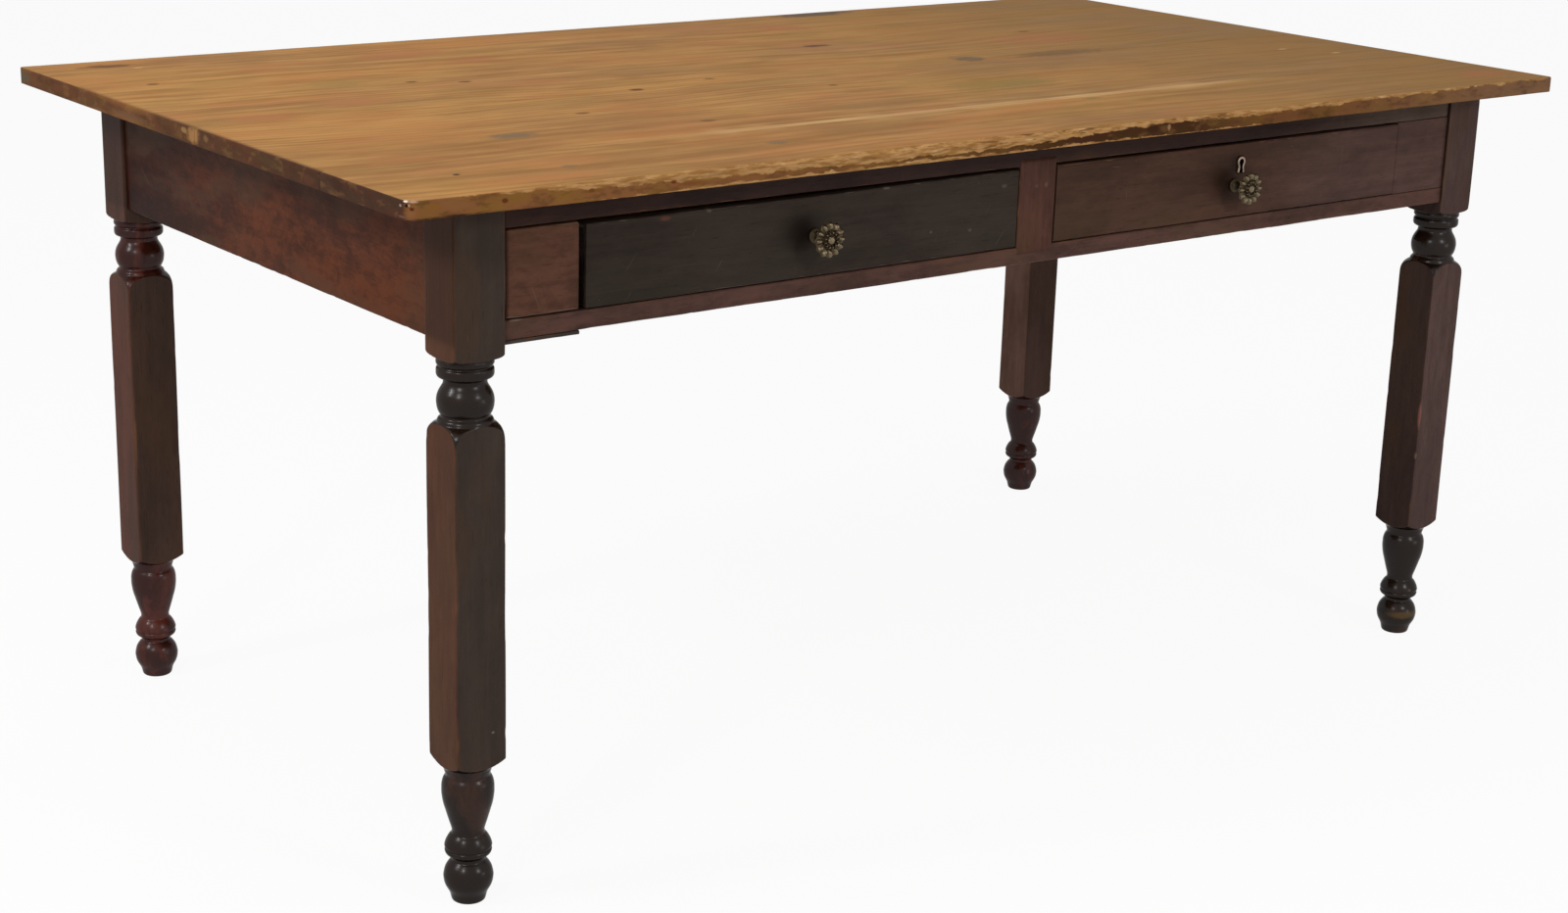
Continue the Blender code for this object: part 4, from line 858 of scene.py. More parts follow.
# %% [markdown]
# ## Turned legs
# A leg starts as a square stick. The turner leaves the top block and the middle shaft square and
# turns what lies between: a collar, a ball and a shoulder above, and a vase, a ring and a ball
# foot below. In polar terms each height has two outlines, the circle of the turning and the square
# of the stick, and the wood that is left is inside both: the smaller radius at every angle.
# That one rule also draws the curved tongue where the turning runs out on the square's corners.

# %% Turn the legs
LEG_LOW, LEG_HIGH = node_box("leg_front_left")
LEG_HALF = (LEG_HIGH[0] - LEG_LOW[0]) / 2
# The turner's pattern from the foot up, as (height, radius) in millimetres
FOOT_PATTERN = (
    (0, 16.6), (1, 17.6), (5.9, 18.9), (9.2, 19.9), (12.6, 21.6), (16, 23.5), (19.4, 24.9),
    (23, 25.7), (27.5, 26.1), (32, 25.4), (36, 24.3), (39.5, 22.5), (43, 19.9),
    (46.2, 17.4), (48.5, 17.5), (50.6, 19.4), (52, 22.0), (54, 23.9), (56.6, 24.6),
    (58.2, 24.0), (58.8, 23.3), (59.5, 24.0), (61.5, 24.8), (65, 24.0), (69.6, 21.9),
    (73, 19.7), (75.4, 17.6), (76.6, 17.1), (79.6, 17.1), (83, 17.9), (89.5, 19.9),
    (96, 21.8), (103, 23.8), (109, 25.5), (116, 26.8), (123, 27.4), (129, 27.3),
    (133.5, 26.6), (137, 25.4), (139.5, 24.0), (141, 23.3), (142.6, 23.4), (146, 24.3),
    (150, 25.6), (152.6, 27.4), (155, 31.6), (158, 36.4), (162, 41.4), (168, 45.0),
)
NECK_PATTERN = (
    (486, 44.0), (497, 41.3), (503, 40.2), (508, 38.9), (512, 36.8), (514.5, 34.6),
    (516.5, 31.8), (518, 29.4), (519, 28.6), (520.5, 28.2), (522.4, 27.2), (523.6, 25.9),
    (525, 25.0), (526.4, 25.2), (528.5, 26.4), (532, 27.8), (536, 28.6), (540, 28.9),
    (544, 28.5), (548, 27.4), (552, 25.4), (556, 23.0), (559, 21.9), (561.5, 22.0),
    (563.2, 23.0), (564, 25.4), (565.6, 28.0), (568.5, 28.9), (572, 28.9), (574.4, 28.2),
    (575.4, 26.8), (576.6, 26.6), (577.6, 28.2), (579.5, 29.0), (582, 28.9), (583.4, 28.2),
    (584.2, 29.4), (585, 34.0), (586.2, 37.6), (588.5, 40.2), (592, 42.5), (598, 44.5),
)
SHAFT_STEP = 0.0035
TURNED_STEP = 0.0007
ARRIS_POWER = 34.0
TURNING_BLEND = 0.00035
RUN_OUT_HIGHLIGHT_WIDTH = 0.0007
FOOT_TOP = FOOT_PATTERN[-1][0] * MM
NECK_LOW, NECK_TOP = NECK_PATTERN[0][0] * MM, NECK_PATTERN[-1][0] * MM
# Painted shade on the top block's side faces, under the overhang of the top, and the height over which it
# fades in
BLOCK_SHADE = 0.6
BLOCK_FADE = 0.01
# How the arrises wear: waves of the knocks, of the bevel and of the rubbing along the leg, and how
# much of the radius a knock takes
KNOCK_WAVE = 0.021
BEVEL_WAVE = 0.11
RUB_WAVE = 0.06
KNOCK_SHARE = 0.022
# How the square faces swell, and the painted highlight line where the turning runs out, as (along, round)
SWELL_WAVES = (0.09, 0.4)
SWELL_DEPTH = 0.00012
RUN_OUT_HIGHLIGHT_WAVES = (0.008, 0.25)
# How deep a groove of the turning is, against its surroundings, when dirt starts and has filled it
GROOVE_STEPS = (0.0001, 0.0011)
SQUARE_BORDER = 0.001


def through_points(places, pattern):
    """A smooth curve through (place, value) pairs that never overshoots: cubic pieces whose slopes
    are the harmonic mean of the slopes on both sides, or level at a high or low point."""
    knots, values = np.array(pattern, float).T
    widths = np.diff(knots)
    slopes = np.diff(values) / widths
    before, after = slopes[:-1], slopes[1:]
    same_way = before * after > 0
    safe = np.where(same_way, before + after, 1.0)
    middle = np.where(same_way, 2 * before * after / safe, 0.0)
    tangents = np.concatenate([slopes[:1], middle, slopes[-1:]])
    piece = np.clip(np.searchsorted(knots, places) - 1, 0, len(widths) - 1)
    width = widths[piece]
    share = np.clip((places - knots[piece]) / width, 0, 1)
    start = values[piece] * (1 + 2 * share) * (1 - share) ** 2
    end = values[piece + 1] * share**2 * (3 - 2 * share)
    leave = tangents[piece] * width * share * (1 - share) ** 2
    arrive = tangents[piece + 1] * width * share**2 * (share - 1)
    return start + end + leave + arrive


def turned_radius(heights):
    """The lathe's outline in metres: the two patterns, and wider than the square everywhere else."""
    foot = through_points(np.clip(heights, 0, FOOT_TOP) / MM, FOOT_PATTERN)
    neck = through_points(np.clip(heights, NECK_LOW, NECK_TOP) / MM, NECK_PATTERN)
    radius = np.where(heights < FOOT_TOP, foot, neck) * MM
    plain = (heights >= FOOT_TOP) & (heights <= NECK_LOW) | (heights > NECK_TOP)
    return np.where(plain, 1.0, radius)


def leg_heights(top):
    """Ring heights: close together on the turnings and wider apart on the square parts."""
    spans = ((0.0, FOOT_TOP, TURNED_STEP), (FOOT_TOP, NECK_LOW, SHAFT_STEP))
    spans += ((NECK_LOW, NECK_TOP, TURNED_STEP), (NECK_TOP, top, SHAFT_STEP))
    runs = [
        np.linspace(low, high, round((high - low) / step), endpoint=False) for low, high, step in spans
    ]
    return np.concatenate([*runs, [top]])


def corner_angles():
    """Angles round the leg, close together at the four corners of the square."""
    spans = (np.linspace(0, 34, 7)[:-1], np.linspace(34, 41, 4)[:-1], np.linspace(41, 45, 6))
    steps = np.concatenate(spans)
    quarter = np.concatenate([steps, 90 - steps[::-1][1:]])[:-1]
    return np.radians(np.concatenate([quarter + turn for turn in (0, 90, 180, 270)]))


def make_leg(name, finish, seed):
    """One leg as a polar grid: radius = the smaller of the turning and the square at each angle."""
    low, high = node_box(name)
    centre = (low + high) / 2
    heights = leg_heights(high[2])[:, None]
    angles = corner_angles()[None, :]
    cosine, sine = np.abs(np.cos(angles)), np.abs(np.sin(angles))

    corner = np.round((angles - np.pi / 4) / (np.pi / 2))
    knock = np.clip(drift_grid(heights, corner, (KNOCK_WAVE, 1.0), seed) - 0.45, 0, 1) * 1.1
    power = ARRIS_POWER * (1 + 0.25 * drift_grid(heights, corner, (BEVEL_WAVE, 1.0), seed + 1))
    square = LEG_HALF / (cosine**power + sine**power) ** (1 / power)
    sharpness = np.minimum(cosine, sine) / np.maximum(cosine, sine)
    near_arris = smooth_step(sharpness, 0.86, 1.0)
    square = square * (1 - KNOCK_SHARE * knock * near_arris)
    square = square - SWELL_DEPTH * (1 + drift_grid(heights, angles, SWELL_WAVES, seed + 2))

    turned = turned_radius(heights[:, 0])[:, None]
    radius = soft_min([turned, square], TURNING_BLEND)
    x, y = centre[0] + radius * np.cos(angles), centre[1] + radius * np.sin(angles)
    points = np.stack([x, y, heights + radius * 0], axis=-1)
    on_square = smooth_step(turned - square, 0.0, SQUARE_BORDER)
    worn = near_arris * on_square * (0.25 + 0.75 * knock)
    worn = worn * smooth_step(drift_grid(heights, corner, (RUB_WAVE, 1.0), seed + 3), -0.3, 0.6)
    broad = np.convolve(np.pad(turned[:, 0], 4, "edge"), np.full(9, 1 / 9), "valid")[:, None]
    groove = smooth_step(broad - turned, *GROOVE_STEPS) * (1 - on_square) * 0.85
    # A painted highlight: a thin pale line where the turning runs out into the square, added to the real
    # wear in "worn"
    run_out_highlight = np.exp(-(((turned - square) / RUN_OUT_HIGHLIGHT_WIDTH) ** 2)) * (turned > LEG_HALF)
    run_out_highlight = run_out_highlight * smooth_step(drift_grid(heights, angles, RUN_OUT_HIGHLIGHT_WAVES, seed + 4), -0.4, 0.6)
    worn = np.maximum(worn, run_out_highlight * 0.7)
    # The front face gets its own browns, lighter or darker than the sides as painted light and shade
    front_face = smooth_step(-np.sin(angles) - cosine, -0.02, 0.02) + heights * 0
    # Painted shade on the block's side faces and dirt in the grooves go into one attribute
    block = smooth_step(heights, NECK_TOP, NECK_TOP + BLOCK_FADE)
    shaded_block = BLOCK_SHADE * block * (1 - front_face)
    grime_and_shade = np.maximum(groove, shaded_block)
    values = {"worn": np.clip(worn, 0, 1), "grime_and_shade": np.clip(grime_and_shade, 0, 1)}
    values.update({"turned": 1 - on_square, "second": front_face})
    leg = make_piece(name + "_turned", points, finish, values)
    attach(leg, "frame")
    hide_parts(name)
    return leg


for leg_seed, (leg_name, finish) in enumerate(leg_finishes.items()):
    turned_leg = make_leg("leg_" + leg_name, finish, 40 + leg_seed * 10)
print("triangles in a leg", 2 * len(turned_leg.data.polygons))


# %% [markdown]
# ## Boards with eased arrises
# A planed board has a straight edge for a week, and after that every knock and every cleaning
# rounds it. Seen in section, the edge of a board is three cuts: the top face, the side face, and
# a small slant across the corner where they meet. Measured from a line inside the board, each cut
# is a distance that depends on the angle, and the wood is inside the nearest one. Letting the
# slant move in and out along the board gives an arris that is worn here and chipped there.

# %% Plane a board
ARRIS_OFFSETS = np.array([0, 0.2, 0.45, 0.8, 1.3, 2.0, 3.1, 4.6, 6.6]) * MM
SLANT_BLEND = 0.00016
ROW_GAP = 0.02
ARRIS_VARIATION = 0.5
# The waves of an arris and of its nicks along a board
ARRIS_WAVE = 0.045
NICK_WAVE = 0.012
# How deep an arris is cut where bare wood starts to show and where all of it shows
WEAR_START = 0.00035
WEAR_FULL = 0.0013
# The waves of the faces as (along, across)
DIP_WAVES = (0.13, 0.07)
BOW_WAVES = (0.17, 0.03)


def edge_angles(half):
    """Angles from straight out to straight up, close together at the corner of a half-by-half square."""
    offsets = ARRIS_OFFSETS[ARRIS_OFFSETS < half * 0.9]
    side = np.arctan2(half - offsets[::-1], half)
    return np.concatenate([[0.0], side, (np.pi / 2 - side[::-1])[1:], [np.pi / 2]])


def end_inset(distance, reach):
    """How far a rounded end steps in: reach - sqrt(reach² - (reach - distance)²), and 0 past the reach."""
    short = np.clip(reach - distance, 0, reach)
    return reach - np.sqrt(np.maximum(reach**2 - short**2, 0))


def make_board(name, low, high, order, material, spacing, arris, nick, wobble, seed, extra,
               ends=(0.0, 0.0), corners=(0, 0, 0, 0), planed=None, cuts=None, row_gap=ROW_GAP):
    """A board between two corners, with its length, width and thickness along the axes of the order.

    Each arris has a cut depth along the length: the arris size, more or less, plus nicks, plus what
    the function cuts adds for the arris's number and the places along. The arrises are the low
    side's upper (0) and lower (1) one, and the high side's upper (2) and lower (3) one.
    ends gives the eased arris at the low and high end, and corners the rounding of the plan at
    (low end, low side), (low end, high side), (high end, low side) and (high end, high side).
    planed gives how much is planed off the high side, as a function of the share of the length.
    extra gives the numbers that the mesh carries besides "worn", as a function of its points."""
    axes = ["xyz".index(letter) for letter in order]
    start, stop = low[axes[0]], high[axes[0]]
    side_low, side_high = low[axes[1]], high[axes[1]]
    middle = (low[axes[2]] + high[axes[2]]) / 2
    half = (high[axes[2]] - low[axes[2]]) / 2

    def end_steps(easing, rounding):
        steps = easing * (1 - np.cos(np.linspace(0, np.pi / 2, 6))) if easing else np.array([0.0])
        if rounding > easing:
            turn = rounding * (1 - np.cos(np.linspace(0, np.pi / 2, 12)))
            steps = np.union1d(steps, turn[turn > easing])
        return steps

    first = end_steps(ends[0], max(corners[:2]))
    last = end_steps(ends[1], max(corners[2:]))
    inner_start, inner_stop = start + first[-1], stop - last[-1]
    count = max(3, round((inner_stop - inner_start) / spacing))
    even = np.linspace(inner_start, inner_stop, count)
    along = np.concatenate([start + first[:-1], even, (stop - last[::-1])[1:]])
    from_start, to_stop = along - start, stop - along
    shrink = end_inset(from_start, ends[0]) + end_inset(to_stop, ends[1])
    inset_low = end_inset(from_start, corners[0]) + end_inset(to_stop, corners[2])
    inset_high = end_inset(from_start, corners[1]) + end_inset(to_stop, corners[3])
    if planed:
        inset_high = inset_high + planed((along - start) / (stop - start))

    angles = edge_angles(half)
    fan = np.concatenate([-angles[::-1][:-1], angles])
    steep, level = np.abs(np.sin(fan))[None, :], np.abs(np.cos(fan))[None, :]
    to_face = half / np.maximum(steep, 1e-6)
    to_side = half / np.maximum(level, 1e-6)
    plain = np.minimum(to_face, to_side)
    upper = (fan > 0)[None, :]

    def arris_cut(number):
        base = arris * (1 + ARRIS_VARIATION * drift(along, ARRIS_WAVE, seed + number))
        chip = np.clip(drift(along, NICK_WAVE, seed + 20 + number) - 0.35, 0, 1)
        cut = base + nick * chip * 3
        return cut + (cuts(number, along) if cuts else 0)

    def edge(number_up, number_down):
        cut = np.where(upper, arris_cut(number_up)[:, None], arris_cut(number_down)[:, None])
        slant = (half * math.sqrt(2) - cut) / np.cos(np.abs(fan)[None, :] - np.pi / 4)
        return soft_min([to_face, to_side, slant], SLANT_BLEND)

    low_edge = edge(0, 1)
    high_edge = edge(2, 3)
    size = (half - shrink)[:, None] / half
    low_line = (side_low + inset_low + shrink)[:, None] + half * size
    high_line = (side_high - inset_high - shrink)[:, None] - half * size
    fan_cos, fan_sin = np.cos(fan)[None, :], np.sin(fan)[None, :]
    low_across = low_line - low_edge * size * fan_cos
    low_up = low_edge * size * fan_sin
    high_across = high_line + high_edge * size * fan_cos
    high_up = high_edge * size * fan_sin

    rows = max(0, round((side_high - side_low - 2 * half) / row_gap) - 1)
    share = (np.arange(1, rows + 1) / (rows + 1))[None, :]
    top_across = high_line + (low_line - high_line) * share
    top_up = half * size + share * 0
    turn = len(angles) - 1

    def once_round(high_side, upper_face, low_side, lower_face):
        """The parts of a section in order, from the middle of the high side over the upper face."""
        parts = [high_side[:, turn:], upper_face, low_side[:, ::-1], lower_face, high_side[:, :turn]]
        return np.concatenate(parts, axis=1)

    across = once_round(high_across, top_across, low_across, top_across[:, ::-1])
    up = once_round(high_up, top_up, low_up, -top_up)
    wear_high = smooth_step(plain - high_edge, WEAR_START, WEAR_FULL)
    wear_low = smooth_step(plain - low_edge, WEAR_START, WEAR_FULL)
    blank = np.zeros_like(top_across)
    worn = once_round(wear_high, blank, wear_low, blank)

    flat = along[:, None] + across * 0
    dip = wobble * (1 + drift_grid(flat, across, DIP_WAVES, seed + 60)) / 2
    up = up * (1 - dip / half)
    bow = wobble * (1 + drift_grid(flat, up, BOW_WAVES, seed + 61)) / 2
    lean = np.clip((across - (side_low + side_high) / 2) / half, -1, 1)
    across = across - bow * lean
    points = np.zeros((len(along), across.shape[1], 3))
    points[..., axes[0]] = flat
    points[..., axes[1]] = across
    points[..., axes[2]] = middle + up
    flip = order not in ("xyz", "yzx", "zxy")
    return make_piece(name, points, material, {"worn": worn, **extra(points)}, flip)


# %% [markdown]
# ## The top
# Four pine boards lie lengthwise. Their long meeting edges are almost shut, and the front seam
# has worn to a pale line where plates and elbows cross it. The front arris is the part of a table
# that suffers most: it is chipped along nearly its whole length, and raw pale wood shows in the
# chips above a band of old dark finish. The chips are real cuts in the mesh, since a bump would
# leave the outline straight.

# %% Lay the four top boards
TOP_BOARDS = ("back", "mid_back", "mid_front", "front")
FRONT_LEFT_ROUNDING = 0.016
CORNER_ROUNDING = 0.008
END_EASE = 0.0016
SEAM_EASE = 0.00030
# The board behind the pale seam, counted from the back
PALE_SEAM = 2
# How far apart the rings of points are along the boards, and along the chipped front board
TOP_SPACING = 0.006
FRONT_SPACING = 0.0022
TOP_NICK = 0.0002
TOP_WOBBLE = 0.00025
# Along the front, as (share of the length, where the old finish starts and ends below the top in
# millimetres, how dark it is, and how much the arris was scraped)
FRONT_BANDS = (
    (0.00, -1.0, 21.0, 0.10, 0.0), (0.05, 0.2, 21.0, 0.05, 0.2), (0.09, 3.0, 20.5, 0.05, 0.5),
    (0.12, 6.0, 19.5, 0.05, 0.8), (0.18, 8.3, 17.3, 0.10, 0.8), (0.24, 10.0, 16.2, 0.12, 0.8),
    (0.30, 11.5, 16.6, 0.30, 0.9), (0.36, 12.0, 14.8, 0.35, 1.0), (0.42, 12.3, 16.6, 0.65, 1.0),
    (0.48, 10.0, 17.5, 0.95, 1.0), (0.53, 7.3, 16.6, 1.0, 0.9), (0.568, 5.0, 18.0, 0.95, 0.9),
    (0.61, 5.2, 17.2, 1.0, 0.7), (0.67, 6.8, 18.5, 0.5, 0.6), (0.73, 5.2, 19.5, 0.5, 0.5),
    (0.80, 3.0, 20.5, 0.35, 0.4), (0.87, 2.2, 21.0, 0.25, 0.35), (1.0, 0.6, 21.0, 0.05, 0.2),
)
# Along the ends, as (share of the depth from the back, how dark the old finish is)
END_DEEPS = (
    (0.0, 0.60), (0.15, 0.85), (0.25, 0.45), (0.35, 0.25), (0.45, 0.85), (0.60, 0.85), (0.75, 0.95),
    (0.85, 1.0), (1.0, 1.0),
)
# How far above the top the old finish of an end would start, at its back and at its front, and how
# far below the top it stops, which is past the underside
END_HIGH = (0.0016, 0.0040)
END_LOW = 0.021
UNDERSIDE = 0.0189
SIDE_START = 0.0012
SCRAPE_REACH = 0.011
SCRAPE_SHARE = 0.8
# How far below the top the scraped upper face and the pale seam have ended and still begin
SCRAPE_FADE = (0.004, 0.001)
SEAM_FADE = (0.002, 0.001)
# The chips of the front arris, as waves along it, and the depths in metres of what they add
COARSE_WAVE, FINE_WAVE, DEEP_WAVE = 0.040, 0.0085, 0.019
CHIP_BASE, COARSE_DEPTH, FINE_DEPTH, DEEP_DEPTH = 0.0004, 0.0008, 0.0009, 0.0016
BAND_SLANT = 0.18
# The lower front arris is rubbed in places, and rounded off at the left end
RUB_LONG = 0.05
RUB_DEPTH = 0.0003
LEFT_DEPTH = 0.0012
# The pale seam: the waves of its strength and of its width, and its width and soft border
SEAM_WAVES = (0.05, 0.03)
SEAM_WIDTH = 0.0050
SEAM_VARIATION = 0.0020
SEAM_BORDER = 0.0060
# Each board's pith line as (share of the board's width from its front edge, height over the top)
PITH_LINES = ((0.3, -0.06), (0.8, -0.10), (0.15, -0.05), (0.6, -0.09))


def share_along(places):
    """The share of the top's length from its left end."""
    return (places + HALF_LENGTH) / (2 * HALF_LENGTH)


def share_of_depth(places):
    """From 0 at the back to 1 at the front."""
    return (HALF_WIDTH - places) / (2 * HALF_WIDTH)


def front_band(places):
    """Start and end of the old finish in metres, its darkness and the scraping, along the front."""
    shares, *columns = np.array(FRONT_BANDS).T
    high, low, deep, scrape = [np.interp(share_along(places), shares, column) for column in columns]
    return high * MM, low * MM, deep, scrape


def front_cuts(number, along):
    """Extra depth of the front board's arrises: number 0 is the upper front one, 1 the lower."""
    if number > 1:
        return along * 0
    share = share_along(along)
    band_high, _, _, scrape = front_band(along)
    if number == 1:
        rub = RUB_DEPTH * smooth_step(drift(along, RUB_LONG, 311), -0.2, 0.7)
        return rub + LEFT_DEPTH * (1 - smooth_step(share, 0.04, 0.11))
    coarse = smooth_step(drift(along, COARSE_WAVE, 301), -0.55, 0.55)
    fine = smooth_step(drift(along, FINE_WAVE, 302), -0.4, 0.8)
    deep = smooth_step(drift(along, DEEP_WAVE, 303), 0.25, 0.95)
    chips = CHIP_BASE + COARSE_DEPTH * coarse + FINE_DEPTH * fine * coarse + DEEP_DEPTH * deep
    return scrape * (BAND_SLANT * np.maximum(band_high, 0) + chips)


def outline_depth(x, y):
    """How far inside the rounded plan of the top each point lies."""
    rounding = np.where((x < 0) & (y < 0), FRONT_LEFT_ROUNDING, CORNER_ROUNDING)
    past_x = np.abs(x) - (HALF_LENGTH - rounding)
    past_y = np.abs(y) - (HALF_WIDTH - rounding)
    outside = np.hypot(np.maximum(past_x, 0), np.maximum(past_y, 0))
    return rounding - outside - np.minimum(np.maximum(past_x, past_y), 0)


def on_top(z, fade):
    """1 on the upper face, and 0 from the first distance of the fade below it."""
    return smooth_step(z, TABLE_HEIGHT - fade[0], TABLE_HEIGHT - fade[1])


def top_extra(points):
    """Where the outside edges are, and where the old finish on them starts, ends and darkens."""
    x, y, z = np.moveaxis(points, -1, 0)
    inside = outline_depth(x, y)
    edge = (1 - smooth_step(inside, SIDE_START, SIDE_START * 2)) * (z > TABLE_HEIGHT - UNDERSIDE)
    front_share = smooth_step(-y, HALF_WIDTH - CORNER_START, HALF_WIDTH - CORNER_STOP)
    depth_share = share_of_depth(y)
    end_high = END_HIGH[0] + (END_HIGH[1] - END_HIGH[0]) * depth_share
    end_deep = np.interp(depth_share, *np.array(END_DEEPS).T)
    band_high, band_low, deep, scrape = front_band(x)
    reach = 1 - smooth_step(inside, SCRAPE_REACH * 0.2, SCRAPE_REACH)
    near_front = smooth_step(-y, HALF_WIDTH - SCRAPE_REACH, HALF_WIDTH - SCRAPE_REACH / 2)
    return {
        "edge": edge,
        "band_high": front_share * band_high - (1 - front_share) * end_high,
        "band_low": front_share * band_low + (1 - front_share) * END_LOW,
        "deep": front_share * deep + (1 - front_share) * end_deep,
        "scrape": scrape * on_top(z, SCRAPE_FADE) * reach * near_front * SCRAPE_SHARE,
    }


def pale_seam(points, seam_y):
    """The rubbed line beside a seam, strongest in the middle of its run."""
    x, y, z = np.moveaxis(points, -1, 0)
    share = share_along(x)
    run = smooth_step(share, 0.12, 0.40) * (1 - smooth_step(share, 0.66, 0.84))
    run = run * (0.66 + 0.25 * drift(x, SEAM_WAVES[0], 341))
    width = SEAM_WIDTH + SEAM_VARIATION * drift(x, SEAM_WAVES[1], 342)
    near = 1 - smooth_step(np.abs(y - seam_y), width, width + SEAM_BORDER)
    return near * run * on_top(z, SEAM_FADE)


for place, board_name in enumerate(TOP_BOARDS):
    low, high = node_box("top_board_" + board_name)
    is_front, is_back = board_name == "front", board_name == "back"
    corners = (
        FRONT_LEFT_ROUNDING * is_front, CORNER_ROUNDING * is_back,
        CORNER_ROUNDING * is_front, CORNER_ROUNDING * is_back,
    )
    pith_share, pith_depth = PITH_LINES[place]
    pith_y = low[1] + (high[1] - low[1]) * pith_share
    finish = pine("pine_" + board_name, place + 1, low[1], high[1], pith_y, TABLE_HEIGHT + pith_depth)

    def dress(points, low=low, high=high, place=place):
        made = top_extra(points)
        if place >= PALE_SEAM:
            seam_y = high[1] if place == PALE_SEAM + 1 else low[1]
            made["pale"] = pale_seam(points, seam_y)
        return made

    top_board = make_board(
        "top_plank_" + board_name, low, high, "xyz", finish,
        spacing=FRONT_SPACING if is_front else TOP_SPACING,
        arris=SEAM_EASE, nick=TOP_NICK, wobble=TOP_WOBBLE, seed=100 + place * 80, extra=dress,
        ends=(END_EASE, END_EASE), corners=corners, cuts=front_cuts if is_front else None,
    )
    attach(top_board, "frame")
    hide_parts("top_board_" + board_name)
print("top boards", len(TOP_BOARDS), "front board faces", len(top_board.data.polygons))


# %% [markdown]
# ## Keeping the joints of the CAD part
# A drawer front is cut for its dovetails, bottom, bolt and lock, and the top rail has a mortise for
# the lock's bolt. A numpy board has worn arrises and none of those cuts, and the CAD solid has the
# cuts and sharp arrises. A Boolean keeps what is inside both, so the board is made a hair smaller
# than the solid first, and the worn arrises and the cuts both stay.

# %% Keep a board only where the CAD part has wood
SKIN = 0.00006
SHARP_DEGREES = 40
WELD_REACH = 0.000005


def solid_copy(node_name):
    """A copy of a CAD node with its loose triangles joined, for use as a cutter."""
    copy = nodes[node_name].data.copy()
    copy.materials.clear()
    holder = bpy.data.objects.new(node_name + "_cutter", copy)
    bpy.context.scene.collection.objects.link(holder)
    weld = holder.modifiers.new("weld", "WELD")
    weld.merge_threshold = WELD_REACH
    return holder


def apply_modifiers(piece):
    """Replaces a piece's mesh with what its modifiers make of it."""
    bpy.context.view_layer.update()
    seen = piece.evaluated_get(bpy.context.evaluated_depsgraph_get())
    made = bpy.data.meshes.new_from_object(seen)
    piece.modifiers.clear()
    piece.data = made


def keep_joints(board, node_name):
    """Cuts a board with the CAD node that it replaces."""
    cutter = solid_copy(node_name)
    keep = board.modifiers.new("joints", "BOOLEAN")
    keep.operation = "INTERSECT"
    keep.solver = "EXACT"
    keep.object = cutter
    apply_modifiers(board)
    bpy.data.objects.remove(cutter)
    board.data.set_sharp_from_angle(angle=math.radians(SHARP_DEGREES))


# %% [markdown]
# ## The frame under the top
# Aprons close the two ends and the back, and the front has two thin rails with a stile between
# the drawers and a filler beside each leg. Only the stretch between the legs shows, so each board
# here runs from leg to leg and a hair into them, and the tenons stay in the CAD model.

# %% Dress the aprons and rails
INTO_LEG = 0.0015
LEG_INSIDE_X = node_box("leg_front_right")[0][0]
LEG_INSIDE_Y = node_box("leg_back_left")[0][1]
# Each board as (node, order of axes, finish, slot, axis cut to the space between the legs, and where
# it changes to its second browns, painted light and shade: the axis and two places along it)
FRAME_BOARDS = (
    ("apron_left", "yzx", end_finish, "apron_stain", 1, (1, 0.02, 0.34)),
    ("apron_right", "yzx", end_finish, "apron_stain", 1, (1, 0.02, 0.34)),
    ("apron_back", "xzy", back_finish, "apron_stain", 0, None),
    ("rail_top", "xyz", over_finish, "rail_stain", 0, (0, 0.40, 0.68)),
    ("rail_bottom", "xyz", under_finish, "rail_stain", 0, None),
    ("rail_cleat", "xyz", cleat_finish, "rail_stain", None, None),
    ("stile", "zxy", stile_finish, "rail_stain", None, None),
    ("filler_left", "xzy", filler_finish, "apron_stain", None, None),
    ("filler_right", "xzy", brown_front, "rail_stain", None, (0, 0.40, 0.56)),
)
# How far an edge stands back from the CAD part, at its low and high corner: old wood shrinks
SHRUNK = {
    "filler_left": ((0.0011, 0.0, 0.0009), (0.0, 0.0, 0.0014)),
    "filler_right": ((-0.0010, 0.0, 0.0), (0.0, 0.0, 0.0)),
}
EASED = {"filler_left": 0.0012, "filler_right": 0.0002, "stile": 0.0006, "rail_bottom": 0.0010}
PLAIN_EASE = 0.0007
FRAME_SPACING = 0.005
FRAME_NICK = 0.0004
FRAME_WOBBLE = 0.0003
# The boards that keep a joint of the CAD part, and how far the painted shadow of the leg reaches from the
# corner by the leg
MORTISED = ("rail_top",)
CORNER_SHADOW = {"filler_left": 0.0030}
CORNER_FADE = 0.0008
# Where the right drawer is flush with the rail under it their arrises are crisper, by this much from
# the second of two places along the front
FLUSH = 0.0007
FLUSH_SPAN = (0.10, 0.40)


def light_and_shade(span, corner, start):
    """A function that fills "second", browns painted for light and shade, between two places along an
    axis, and "grime_and_shade" as the painted shadow of the leg in the corner beside it, up to a
    distance from the board's start."""
    def fill(points):
        made = {}
        if span:
            axis, low, high = span
            made["second"] = smooth_step(points[..., axis], low, high)
        if corner:
            past = smooth_step(points[..., 0] - start, corner, corner + CORNER_FADE)
            made["grime_and_shade"] = 0.95 * (1 - past)
        return made

    return fill


def crisper(arris_number):
    """Cuts that make one arris of a board crisper where the right drawer and the rail are flush."""
    return lambda number, along: -FLUSH * (number == arris_number) * smooth_step(along, *FLUSH_SPAN)


